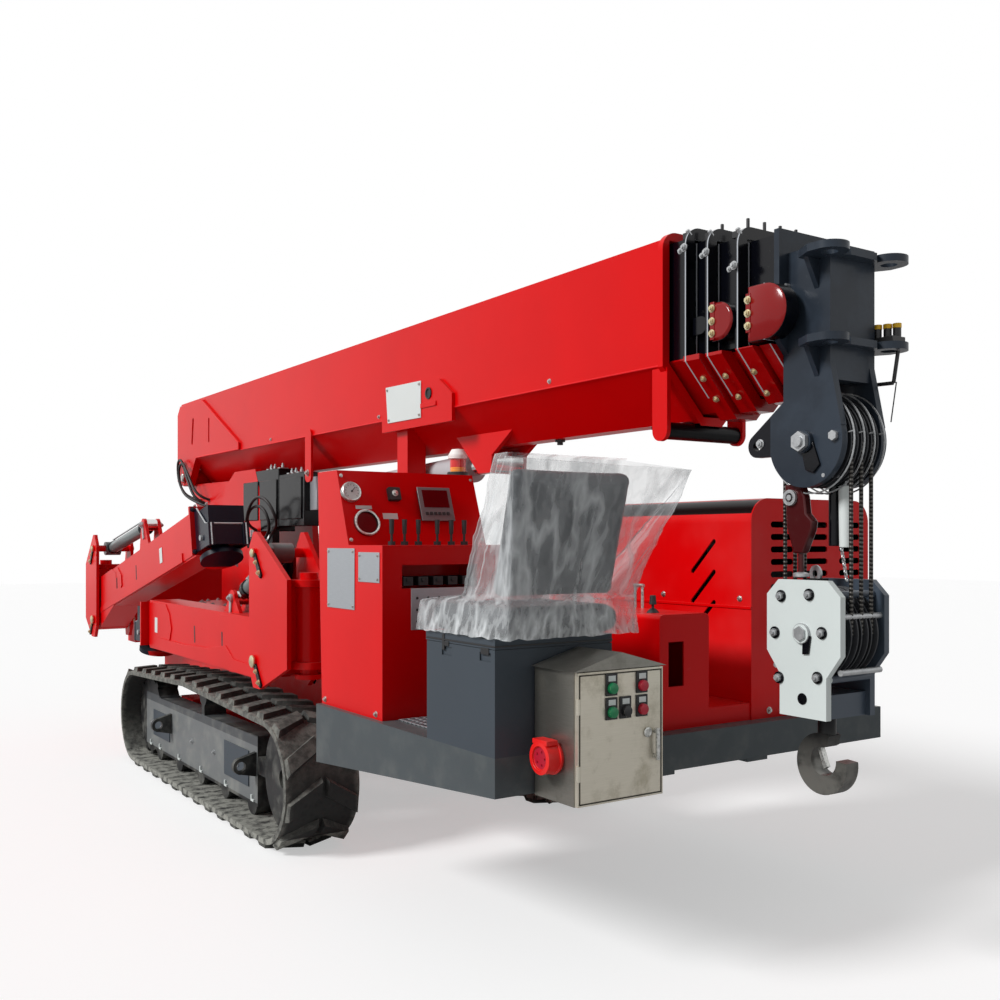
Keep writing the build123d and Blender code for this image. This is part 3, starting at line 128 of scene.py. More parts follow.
class Finish:
    """A procedural material with one Principled shader."""

    def __init__(self, name, colour=(0.8, 0.8, 0.8), rough=0.5, **fixed):
        self.material = bpy.data.materials.new(name)
        self.material.use_nodes = True
        self.tree = self.material.node_tree
        self.tree.nodes.clear()
        self.shader = self.tree.nodes.new("ShaderNodeBsdfPrincipled")
        self.output = self.tree.nodes.new("ShaderNodeOutputMaterial")
        self.tree.links.new(self.shader.outputs[0], self.output.inputs["Surface"])
        self.material.diffuse_color = (*colour[:3], 1.0)
        self.set("Base Color", (*colour[:3], 1.0))
        self.set("Roughness", rough)
        for label, value in fixed.items():
            self.set(label.replace("_", " "), value)

    def node(self, kind, settings=None, inputs=None, output=0):
        """Any node: its settings are made first, then the values or links of its sockets."""
        made = self.tree.nodes.new(kind)
        for label, value in (settings or {}).items():
            setattr(made, label, value)
        for label, value in (inputs or {}).items():
            self._feed(made.inputs[label], value)
        return Value(self, made.outputs[output])

    def _feed(self, socket, value):
        if isinstance(value, Value):
            self.tree.links.new(value.socket, socket)
        else:
            socket.default_value = value

    def set(self, label, value):
        self._feed(self.shader.inputs[label], value)

    def point(self, scale=(1, 1, 1)):
        """The place on the piece in its own coordinates, in metres, times a scale."""
        place = self.node("ShaderNodeTexCoord", output="Object")
        if tuple(scale) == (1, 1, 1):
            return place
        return self.node("ShaderNodeMapping", None, {"Vector": place, "Scale": scale})

    def axis(self, name, place=None):
        """One coordinate of a place."""
        place = place or self.point()
        return self.node("ShaderNodeSeparateXYZ", None, {"Vector": place}, name)

    def noise(self, scale, detail=3.0, rough=0.55, place=None):
        return self.node(
            "ShaderNodeTexNoise",
            None,
            {"Vector": place or self.point(), "Scale": scale, "Detail": detail, "Roughness": rough},
        )

    def cells(self, scale):
        return self.node("ShaderNodeTexVoronoi", None, {"Vector": self.point(), "Scale": scale})

    def up(self):
        """How far the surface faces up: 1 on top, 0 on a wall, -1 underneath."""
        normal = self.node("ShaderNodeNewGeometry", output="Normal")
        return self.axis("Z", normal)

    def mix(self, first, second, share):
        """A colour between two colours."""
        return self.node(
            "ShaderNodeMix",
            {"data_type": "RGBA"},
            {"Factor": share, 6: rgba(first), 7: rgba(second)},
            2,
        )

    def bump(self, height, strength=0.2, distance=0.001):
        normal = self.node(
            "ShaderNodeBump", None, {"Height": height, "Strength": strength, "Distance": distance}
        )
        self.set("Normal", normal)


def rgba(colour):
    return colour if isinstance(colour, Value) else (*colour[:3], 1.0)


def screen(red, green, blue):
    """A colour written as on a screen, from 0 to 255, as scene light."""
    return tuple((c / 255) ** 2.2 for c in (red, green, blue))


def shade(colour, factor):
    return tuple(min(1.0, c * factor) for c in colour[:3])


# What a user may change


class CraneColours(bpy.types.PropertyGroup):
    red: FloatVectorProperty(
        name="Red paint", description="Boom, outriggers and covers", subtype="COLOR",
        size=3, min=0, max=1, default=screen(214, 8, 14),
    )
    grey: FloatVectorProperty(
        name="Grey paint", description="Deck and track frames", subtype="COLOR",
        size=3, min=0, max=1, default=screen(74, 80, 83),
    )
    navy: FloatVectorProperty(
        name="Slate paint", description="Boom head", subtype="COLOR",
        size=3, min=0, max=1, default=screen(50, 58, 68),
    )
    dust: FloatVectorProperty(
        name="Dust", description="Dry dirt on the tracks and ledges", subtype="COLOR",
        size=3, min=0, max=1, default=screen(160, 160, 152),
    )
    dirt: FloatProperty(
        name="Dirt", description="How much dust lies on the paint", subtype="FACTOR",
        min=0, max=1, default=0.2,
    )


class CraneSizes(bpy.types.PropertyGroup):
    bolt: FloatProperty(
        name="Bolt head", description="Radius of a common bolt head", unit="LENGTH",
        min=0.002, max=0.05, default=0.013,
    )
    hose: FloatProperty(
        name="Hose", description="Diameter of a hydraulic hose", unit="LENGTH",
        min=0.005, max=0.05, default=0.018,
    )
    strands: IntProperty(
        name="Rope strands", description="Strands seen round a wire rope", min=3, max=12, default=6,
    )


def colours():
    return bpy.context.scene.crane_colours


def sizes():
    return bpy.context.scene.crane_sizes


# Finishes

made_finishes = {}


def finish_of(name):
    """The material of that name, made when it is first asked for."""
    if name not in made_finishes:
        made_finishes[name] = FINISHES[name]()
    return made_finishes[name]


def paint_layers(finish, colour, rough, low_dirt=0.0):
    """Tone patches, settled dust and low grime over a paint colour. Returns colour and roughness."""
    dust = tuple(colours().dust)
    dirt = colours().dirt
    tone = finish.noise(1.6, 4.0).step(0.3, 0.7)
    cloud = finish.noise(11.0, 6.0).step(0.42, 0.8)
    settled = finish.up().step(0.55, 1.0) * (0.25 + cloud * 0.35) * dirt
    if isinstance(colour, Value):
        body = finish.mix(colour, finish.mix(colour, (0.0, 0.0, 0.0), 0.07), tone)
    else:
        body = finish.mix(shade(colour, 0.94), shade(colour, 1.03), tone)
    if low_dirt:
        low = 1 - finish.axis("Z").step(0.15, 1.1)
        settled = (settled + low * cloud * low_dirt).least(0.85)
    scuff = finish.noise(38.0, 5.0, 0.7).step(0.62, 0.72) * 0.12
    body = finish.mix(body, dust, (settled + scuff * dirt).least(0.9))
    return body, rough + settled * 0.4 + scuff


def worn_paint(finish, colour, rough, low_dirt=0.0, over=(), skin=(240.0, 2.0), relief=(0.05, 0.0006)):
    """Worn paint with colours laid over it by their masks, and a fine skin."""
    body, dull = paint_layers(finish, colour, rough, low_dirt)
    for layer, mask in over:
        body = finish.mix(body, layer, mask)
    finish.set("Base Color", body)
    finish.set("Roughness", dull)
    if relief:
        finish.bump(finish.noise(*skin), *relief)
    return finish.material


# Paints: name, a colour on screen or a user's colour by name, roughness, coat, low grime
PAINTS = (
    ("red_paint", "red", 0.32, 0.03, 0.0),
    ("low_red_paint", "red", 0.38, 0.03, 0.25),
    ("grey_paint", "grey", 0.42, 0.1, 0.2),
    ("slate_paint", (66, 73, 80), 0.4, 0.05, 0.0),
    ("black_paint", (14, 15, 20), 0.25, 0.2, 0.0),
    ("ram_paint", (104, 112, 112), 0.34, 0.3, 0.0),
    ("white_paint", (214, 220, 218), 0.4, 0.15, 0.0),
    ("shoe_paint", (24, 27, 40), 0.3, 0.2, 0.0),
    # Lighter red of the boom's beads, a painted highlight along their edges
    ("bead_paint", (230, 36, 42), 0.4, 0.02, 0.0),
    ("housing_red", (132, 6, 12), 0.16, 0.4, 0.0),
    ("brown_paint", (70, 22, 24), 0.3, 0.3, 0.0),
    ("dark_trim", (70, 66, 60), 0.5, 0.0, 0.0),
    ("black_gloss", (9, 9, 13), 0.22, 0.15, 0.0),
    ("display_grey", (128, 122, 124), 0.35, 0.1, 0.0),
    ("wine_gloss", (92, 14, 22), 0.12, 0.6, 0.0),
)


def paint(name, colour, rough, coat, low_dirt):
    colour = tuple(getattr(colours(), colour)) if isinstance(colour, str) else screen(*colour)
    finish = Finish(name, colour, rough, Coat_Weight=coat, Coat_Roughness=0.12, Specular_IOR_Level=0.14)
    return worn_paint(finish, colour, rough, low_dirt)


# Plastics: name, colour on screen, roughness
PLASTICS = (
    ("black_plastic", (22, 22, 24), 0.42),
    ("red_plastic", (232, 32, 30), 0.28),
    ("green_plastic", (0, 122, 74), 0.3),
    ("crimson_plastic", (176, 22, 48), 0.3),
    ("yellow_plastic", (226, 176, 24), 0.4),
)


def plastic(name, colour, rough):
    colour = screen(*colour)
    finish = Finish(name, colour, rough)
    skin = finish.noise(160.0, 2.0)
    finish.set("Base Color", finish.mix(shade(colour, 0.9), shade(colour, 1.06), finish.noise(14.0)))
    finish.set("Roughness", rough + skin * 0.12)
    finish.bump(skin, 0.06, 0.0004)
    return finish.material


# Bare metals and hose rubber: name, colour, roughness, metallic, grain (a scale for cells; scale, detail
# and roughness for noise), its dark and light ends, least roughness and its rise, bump
GRAINED = (
    ("worn_steel", (176, 178, 180), 0.34, 0.6, (60.0, 4.0, 0.7),
     (132, 134, 138), (206, 208, 208), 0.28, 0.24, None),
    ("brass_zinc", (206, 194, 150), 0.3, 0.7, (40.0, 4.0, 0.7),
     (178, 160, 112), (224, 216, 186), 0.24, 0.2, None),
    ("zinc", (176, 178, 176), 0.3, 0.9, (120.0,), (150, 152, 150), (208, 208, 204), 0.22, 0.25, None),
    ("chrome", (214, 214, 214), 0.12, 1.0, (14.0, 4.0), (196, 196, 196), (226, 226, 224), 0.08, 0.14, None),
    ("cast_iron", (44, 45, 48), 0.45, 0.35, (120.0, 5.0, 0.7),
     (30, 31, 34), (58, 60, 64), 0.4, 0.25, (0.2, 0.0012)),
    ("hose_rubber", (20, 20, 21), 0.5, 0.0, (160.0,), (14, 14, 15), (36, 36, 37), 0.42, 0.25, (0.25, 0.0006)),
)


def grained(name, colour, rough, metallic, pattern, dark, light, least, rise, relief):
    finish = Finish(name, screen(*colour), rough, Metallic=metallic)
    grain = finish.noise(*pattern) if len(pattern) > 1 else finish.cells(*pattern)
    finish.set("Base Color", finish.mix(screen(*dark), screen(*light), grain))
    finish.set("Roughness", least + grain * rise)
    if relief:
        finish.bump(grain, *relief)
    return finish.material


# Brushed sheet: name, colour, roughness, metallic, the grain's dark and light ends, the colour of finger
# smears, their share and start, least roughness
BRUSHED = (
    ("stainless", (190, 186, 176), 0.32, 0.85, (118, 116, 108), (150, 148, 142), (90, 88, 80), 0.5, 0.42, 0.26),
    ("door_finish", (190, 184, 170), 0.3, 0.8, (192, 186, 170), (214, 208, 194), (140, 132, 112),
     0.55, 0.45, 0.3),
)


def brushed(name, colour, rough, metallic, dark, light, smudge, share, start, least):
    finish = Finish(name, screen(*colour), rough, Metallic=metallic)
    grain = finish.noise(16.0, 5.0, 0.6, finish.point((1.0, 1.0, 36.0)))
    smear = finish.noise(9.0, 5.0, 0.7).step(start, 0.72)
    sheet = finish.mix(screen(*dark), screen(*light), grain)
    finish.set("Base Color", finish.mix(sheet, screen(*smudge), smear * share))
    finish.set("Roughness", least + grain * 0.12 + smear * 0.16)
    finish.bump(grain, 0.06, 0.0004)
    return finish.material


def plain_plate():
    """Bare aluminium plates and the blank signs."""
    finish = Finish("plain_plate", screen(168, 172, 176), 0.38, Metallic=0.55)
    grain = finish.noise(30.0, 4.0, 0.6, finish.point((1, 1, 24)))
    finish.set("Base Color", finish.mix(screen(146, 150, 155), screen(184, 188, 192), grain))
    finish.set("Roughness", 0.3 + grain * 0.22)
    finish.bump(grain, 0.08, 0.0005)
    return finish.material


def track_rubber():
    """Black tread with pale dry dust on its lugs, edges and inner run."""
    finish = Finish("track_rubber", screen(38, 38, 38), 0.85)
    dust = tuple(colours().dust)
    x = finish.axis("X")
    z = finish.axis("Z")
    y = finish.axis("Y").size()
    cake = finish.noise(26.0, 6.0, 0.65)
    fine = finish.noise(140.0, 4.0, 0.7)
    lug_top = finish.cells(34.0).step(0.0, 0.5)
    upward = finish.up().step(-0.2, 0.7)
    inside = z.between(0.022, 0.075)
    rim = ((y - TRACK_LINE).size()).step(0.135, 0.1685)
    amount = (upward * 0.3 + inside * 0.7 + rim * 0.4) * (0.3 + cake.step(0.34, 0.66)) + lug_top * 0.03
    rows = (x * 70.0).wave().step(-0.2, 0.9) * inside * 0.4
    amount = (amount - rows).most(0.0).least(0.92)
    rubber = finish.mix(screen(14, 14, 15), screen(36, 36, 36), cake)
    finish.set("Base Color", finish.mix(rubber, dust, amount * (0.55 + fine * 0.6)))
    finish.set("Roughness", 0.78 + amount * 0.2)
    finish.bump(cake * 0.7 + fine * 0.3, 0.5, 0.004)
    return finish.material


def track_frame_finish():
    """Grey side panel, black wheels and black lashing plates."""
    finish = Finish("track_frame_finish", screen(98, 100, 102), 0.5)
    x = finish.axis("X")
    z = finish.axis("Z")
    y = finish.axis("Y").size()
    panel = x.between(-1.66, 0.186) * z.between(0.11, 0.42)
    band = z.over(0.375) * panel
    lash = y.over(0.778) * x.between(-1.3, 0.3)
    grey = finish.mix(screen(104, 107, 108), screen(62, 65, 68), band)
    steel = finish.mix(screen(20, 20, 22), grey, panel)
    steel = finish.mix(steel, screen(16, 17, 20), lash)
    return worn_paint(finish, steel, 0.5, 0.35, skin=(90.0, 4.0), relief=(0.12, 0.001))


def engine_iron():
    finish = Finish("engine_iron", screen(70, 72, 74), 0.6, Metallic=0.2)
    grime = finish.noise(8.0, 6.0, 0.7)
    finish.set("Base Color", finish.mix(screen(86, 88, 90), screen(36, 34, 32), grime.step(0.35, 0.7)))
    finish.set("Roughness", 0.5 + grime * 0.35)
    finish.bump(finish.cells(30.0), 0.3, 0.004)
    return finish.material


def wire_rope():
    """Greasy steel strands that wind round the rope."""
    finish = Finish("wire_rope", screen(86, 84, 80), 0.45, Metallic=0.7)
    place = finish.point()
    turn = finish.node(
        "ShaderNodeMath", {"operation": "ARCTAN2"},
        {0: finish.axis("Y", place) * 60.0, 1: finish.axis("X", place) * 60.0},
    )
    lay = (turn * sizes().strands + finish.axis("Z", place) * 520.0).wave()
    finish.set("Base Color", finish.mix(screen(24, 23, 22), screen(82, 80, 77), lay.step(-0.9, 0.8)))
    finish.set("Roughness", 0.5 - lay * 0.1)
    finish.bump(lay, 0.7, 0.0015)
    return finish.material


def beacon_lens():
    """Ribbed amber lens under a red band and a white cap."""
    finish = Finish("beacon_lens", screen(244, 120, 16), 0.16, Coat_Weight=0.6)
    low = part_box("beacon")[0][2]
    z = finish.axis("Z") - low
    rib = (z * 900.0).wave()
    lens = finish.mix(screen(250, 128, 16), screen(255, 176, 60), rib.step(-0.5, 1.0))
    lens = finish.mix(lens, screen(214, 20, 20), z.over(0.034))
    lens = finish.mix(lens, screen(238, 236, 232), z.over(0.068))
    finish.set("Base Color", lens)
    finish.set("Roughness", 0.16 + z.over(0.068) * 0.3)
    finish.bump(rib, 0.3, 0.001)
    return finish.material


def console_finish():
    """Red sheet with a dark slot in the front."""
    finish = Finish("console_finish", tuple(colours().red), 0.3, Coat_Weight=0.03, Specular_IOR_Level=0.14)
    y = finish.axis("Y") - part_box("console")[0][1]
    z = finish.axis("Z")
    slot = finish.axis("X").between(1.520, 1.6055) * y.between(0.078, 0.394) * z.between(1.167, 1.251)
    return worn_paint(finish, tuple(colours().red), 0.3, over=((screen(12, 11, 12), slot),))


def hood_finish():
    """Red sheet outside; inside, near black as painted shade."""
    finish = Finish("hood_finish", tuple(colours().red), 0.3, Coat_Weight=0.03, Specular_IOR_Level=0.14)
    low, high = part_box("engine_hood")
    # inside: the sheet's inner faces, given near black as painted shade
    inside = finish.axis("X").between(low[0] + HOOD_SHEET, high[0] - HOOD_SHEET)
    inside = inside * finish.axis("Y").between(low[1] + HOOD_SHEET, high[1] - HOOD_SHEET)
    inside = inside * (1 - finish.axis("Z").over(high[2] - HOOD_SHEET))
    haze = finish.noise(3.0, 3.0).step(0.35, 0.8) * 0.02
    # A faint white haze of dust, then the painted shade of the inside
    over = (((1, 1, 1), haze), (screen(16, 12, 12), inside))
    return worn_paint(finish, tuple(colours().red), 0.3, over=over, skin=(200.0, 2.0))


def section_finish():
    """Gloss black collars above the boom's knee, with painted highlights on their front edges, and red guards
    below it, darkened as painted shade.
    """
    finish = Finish("section_finish", screen(8, 9, 16), 0.2, Coat_Weight=0.15, Specular_IOR_Level=0.25)
    z = finish.axis("Z")
    guard = 1 - z.over(GUARD_TOP)
    # The guards are red, darkened to 0.62 as painted shade
    colour = finish.mix(screen(7, 9, 17), shade(tuple(colours().red), 0.62), guard)
    x = finish.axis("X")
    # rim: painted highlight, a pale line along each collar's front edge on the sides where the edge catches the
    # light; faces looking ahead are left out
    rim = 0.0
    for front in SECTION_FRONTS:
        rim = x.between(front - 0.005, front + 0.0005) + rim
    ahead = finish.axis("X", finish.node("ShaderNodeNewGeometry", output="Normal")).over(0.5)
    colour = finish.mix(colour, screen(176, 180, 186), rim * z.over(1.80) * (1 - ahead))
    return worn_paint(finish, colour, 0.2, skin=(200.0, 2.0))


def boom_finish():
    """Red paint, with the black guide roller under the boom's mouth."""
    finish = Finish("boom_finish", tuple(colours().red), 0.32, Coat_Weight=0.03, Specular_IOR_Level=0.14)
    along = (finish.axis("X") - 2.320).size()
    up = (finish.axis("Z") - 1.702).size()
    y = finish.axis("Y")
    roller = (1 - along.over(ROLLER_HALF)) * (1 - up.over(ROLLER_HALF)) * y.between(-0.1905, 0.1415)
    return worn_paint(finish, tuple(colours().red), 0.32, over=((screen(14, 14, 17), roller),))


# Sliding feet: name, the beam pin's place along the crane, the beam's tilt, where the dark shoe starts
FEET = (("front_foot_finish", 0.320, 0.0, 1.8755), ("rear_foot_finish", -2.740, math.radians(11.6), 2.2295))


def foot_finish(name, pin, tilt, start):
    """Red end plate and dark shoe and float, told apart by how far out they are."""
    finish = Finish(name, screen(24, 27, 40), 0.34, Coat_Weight=0.03, Specular_IOR_Level=0.16)
    way = 1 if tilt else -1
    out = (finish.axis("X") - pin) * (way * math.cos(tilt)) + (finish.axis("Z") - BEAM_PIN_Z) * math.sin(tilt)
    dark = out.over(start)
    colour = finish.mix(tuple(colours().red), screen(22, 25, 38), dark)
    return worn_paint(finish, colour, 0.34)


def head_finish():
    """Slate plates, near black at the rear as painted shadow, and noise patches that darken the slate by up to
    about a third.
    """
    finish = Finish("head_finish", tuple(colours().navy), 0.34, Coat_Weight=0.05, Specular_IOR_Level=0.2)
    # rear: painted shadow, near black, that the collars cast on the plates behind 2.7 m
    rear = 1 - finish.axis("X").over(2.700)
    # cloud: noise patches that darken the slate by up to about a third
    cloud = finish.noise(5.0, 4.0, 0.6).step(0.38, 0.62)
    colour = finish.mix(tuple(colours().navy), screen(9, 11, 20), (rear + (1 - cloud) * 0.35).least(1.0))
    return worn_paint(finish, colour, 0.34, skin=(160.0, 3.0), relief=(0.06, 0.0008))


def derrick_finish():
    """Bright tube with a black band, black behind the band."""
    finish = Finish("derrick_finish", screen(200, 202, 204), 0.3, Specular_IOR_Level=0.3)
    x = finish.axis("X")
    colour = finish.mix(screen(14, 14, 17), screen(196, 199, 202), x.over(-0.560))
    colour = finish.mix(colour, screen(14, 14, 17), x.between(0.300, 0.400))
    return worn_paint(finish, colour, 0.3, relief=None)


def block_finish():
    """Near plate pale; the far plate and spacers slate as painted shade."""
    finish = Finish("block_finish", screen(200, 208, 206), 0.4)
    y = finish.axis("Y")
    # near: the pale near plate; all behind it, far plate and spacers, gets slate as painted shade
    near = 1 - y.over(-0.0875)
    colour = finish.mix(screen(66, 76, 88), screen(212, 220, 218), near)
    return worn_paint(finish, colour, 0.4, skin=(160.0, 3.0), relief=(0.08, 0.0008))


def hook_finish():
    """Black forging, worn bright at its tip and throat."""
    finish = Finish("hook_finish", screen(40, 40, 42), 0.4, Metallic=0.6)
    z = finish.axis("Z")
    worn = (1 - z.step(0.62, 0.80)) * finish.noise(18.0, 5.0).step(0.2, 0.6)
    finish.set("Base Color", finish.mix(screen(20, 21, 24), screen(112, 111, 106), worn))
    finish.set("Roughness", 0.42 - worn * 0.12)
    finish.bump(finish.noise(60.0, 4.0), 0.2, 0.0015)
    return finish.material


def seat_vinyl():
    finish = Finish("seat_vinyl", screen(58, 61, 66), 0.48)
    crease = finish.cells(260.0)
    tone = finish.noise(9.0, 4.0)
    finish.set("Base Color", finish.mix(screen(34, 37, 42), screen(56, 60, 65), tone))
    finish.set("Roughness", 0.4 + crease * 0.2)
    finish.bump(crease, 0.3, 0.0008)
    return finish.material


def clear_film():
    """Thin wrapping, clear between soft pale creases that run from the top to the hem."""
    finish = Finish("clear_film", screen(226, 230, 232), 0.16, Specular_IOR_Level=0.5)
    finish.material.use_backface_culling = False
    bag = finish.node("ShaderNodeUVMap", {"uv_map": "bag"})

    def creases(around, rise, sharp, detail):
        place = finish.node("ShaderNodeMapping", None, {"Vector": bag, "Scale": (around, rise, 1)})
        wave = finish.noise(1.0, detail, 0.5, place)
        return wave, (1 - (wave - 0.5).size() * sharp).most(0.0)

    wide, wide_line = creases(15.0, 1.6, 16.0, 3.0)
    fine, fine_line = creases(46.0, 5.5, 13.0, 4.0)
    haze = finish.noise(4.0, 3.0).step(0.3, 0.75)
    hem = 1 - finish.axis("Y", bag).step(0.0, 0.22)
    alpha = 0.13 + haze * 0.15 + wide_line * 0.30 + fine_line * (0.09 + hem * 0.2) + hem * 0.05
    finish.set("Alpha", alpha.least(0.8))
    finish.set("Roughness", 0.12 + haze * 0.2)
    finish.bump(wide + fine * 0.35, 0.7, 0.015)
    return finish.material


FINISHES = {
    maker.__name__: maker
    for maker in (
        plain_plate, track_rubber, track_frame_finish, engine_iron, wire_rope, beacon_lens, console_finish,
        hood_finish, section_finish, boom_finish, head_finish, derrick_finish, block_finish, hook_finish,
        seat_vinyl, clear_film,
    )
}
for maker, rows in (
    (paint, PAINTS), (plastic, PLASTICS), (grained, GRAINED), (brushed, BRUSHED), (foot_finish, FEET),
):
    FINISHES.update({row[0]: partial(maker, *row) for row in rows})

# The finish of each node, by the start or the end of its name, first match first
NODE_FINISHES = (
    ("track_frame", "track_frame_finish"),
    ("track", "track_rubber"),
    ("deck", "grey_paint"),
    ("console_gauges", "black_plastic"),
    ("console", "console_finish"),
    ("control_levers", "black_plastic"),
    ("beacon", "beacon_lens"),
    ("seat_box", "slate_paint"),
    ("seat", "seat_vinyl"),
    ("engine_hood", "hood_finish"),
    ("engine_block", "engine_iron"),
    ("low_cover", "red_paint"),
    ("control_cabinet", "stainless"),
    ("cabinet_door", "door_finish"),
    ("power_inlet", "red_plastic"),
    ("boom_rest_post", "slate_paint"),
    ("turret", "red_paint"),
    ("winch_drum", "cast_iron"),
    ("derrick_bracket", "red_paint"),
    ("boom_head", "head_finish"),
    ("boom_base", "boom_finish"),
    ("section", "section_finish"),
    ("sheaves", "cast_iron"),
    ("hook_block", "block_finish"),
    ("hoist_ropes", "wire_rope"),
    ("hook", "hook_finish"),
    ("derrick_barrel", "derrick_finish"),
    ("derrick_rod", "chrome"),
    ("ram_barrel", "ram_paint"),
    ("ram_rod", "chrome"),
    ("chassis_frame", "low_red_paint"),
    ("bracket", "red_paint"),
    ("beam", "red_paint"),
    ("front_foot", "front_foot_finish"),
    ("rear_foot", "rear_foot_finish"),
)


# Shapes


def at(x, y, z):
    """A place in metres from millimetres."""
    return Vector((x, y, z)) * MM


def turned(start, way):
    """A matrix that stands something made along Z at a start, along a direction."""
    return Matrix.Translation(start) @ Vector(way).normalized().to_track_quat("Z", "Y").to_matrix().to_4x4()


def meshes(count):
    """Empty meshes, to be drawn in."""
    return [bmesh.new() for _ in range(count)]


def block(mesh, x, y, z):
    """A box from its limits along the three axes, in millimetres."""
    middle = at((x[0] + x[1]) / 2, (y[0] + y[1]) / 2, (z[0] + z[1]) / 2)
    span = at(x[1] - x[0], y[1] - y[0], z[1] - z[0])
    place = Matrix.Translation(middle) @ Matrix.Diagonal((*span, 1))
    return bmesh.ops.create_cube(mesh, size=1, matrix=place)["verts"]


def rod(mesh, start, end, radius, sides=16, far_radius=None):
    """A round bar between two places, in millimetres."""
    start, end = at(*start), at(*end)
    way = end - start
    place = turned((start + end) / 2, way)
    far = radius if far_radius is None else far_radius
    return bmesh.ops.create_cone(
        mesh, cap_ends=True, segments=sides, radius1=radius * MM, radius2=far * MM, depth=way.length,
        matrix=place,
    )["verts"]


def plate(mesh, corners, through):
    """A flat plate from its corners, in millimetres, and the step through it."""
    face = mesh.faces.new([mesh.verts.new(at(*corner)) for corner in corners])
    made = bmesh.ops.extrude_face_region(mesh, geom=[face])
    verts = [v for v in made["geom"] if isinstance(v, bmesh.types.BMVert)]
    bmesh.ops.translate(mesh, verts=verts, vec=at(*through))
    return verts


def lathe(mesh, profile, start, way, steps=24):
    """A turned shape: radius and height pairs, in millimetres, along a direction from a start."""
    verts = [mesh.verts.new(Vector((r, 0, h)) * MM) for r, h in profile]
    edges = [mesh.edges.new(pair) for pair in zip(verts, verts[1:])]
    made = bmesh.ops.spin(
        mesh, geom=verts + edges, cent=(0, 0, 0), axis=(0, 0, 1), angle=math.tau, steps=steps, use_merge=True
    )
    new = {v for v in verts if v.is_valid}
    seen = list(new)
    while seen:
        for edge in seen.pop().link_edges:
            for v in edge.verts:
                if v not in new:
                    new.add(v)
                    seen.append(v)
    bmesh.ops.transform(mesh, matrix=turned(at(*start), way), verts=list(new))
    return made


def bolt(mesh, place, way, radius=None):
    """A hexagon head on a washer, standing on a place in millimetres."""
    radius = radius or sizes().bolt / MM
    place = Vector(place)
    way = Vector(way).normalized()
    rod(mesh, place - way, place + way * radius * 0.18, radius * 1.25, 14)
    rod(mesh, place, place + way * radius * 0.75, radius, 6, radius * 0.94)
    rod(mesh, place + way * radius * 0.7, place + way * radius * 1.15, radius * 0.5, 8)


def piece(name, mesh, body, finish, bevel=0.0, smooth=35, place=None):
    """A finished mesh piece that rides on a body, moved from its own frame where a place is given."""
    if place:
        bmesh.ops.transform(mesh, matrix=place, verts=mesh.verts)
    bmesh.ops.remove_doubles(mesh, verts=mesh.verts, dist=1e-6)
    bmesh.ops.recalc_face_normals(mesh, faces=mesh.faces)
    data = bpy.data.meshes.new(name)
    mesh.to_mesh(data)
    mesh.free()
    made = bpy.data.objects.new(name, data)
    bpy.context.scene.collection.objects.link(made)
    data.materials.append(finish_of(finish))
    if bevel:
        edge = made.modifiers.new("edges", "BEVEL")
        edge.width = bevel * MM
        edge.segments = 2
        edge.limit_method = "ANGLE"
        edge.angle_limit = math.radians(40)
        edge.harden_normals = False
    if smooth:
        data.shade_smooth()
        data.set_sharp_from_angle(angle=math.radians(smooth))
    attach(made, body)
    return made


# Stage


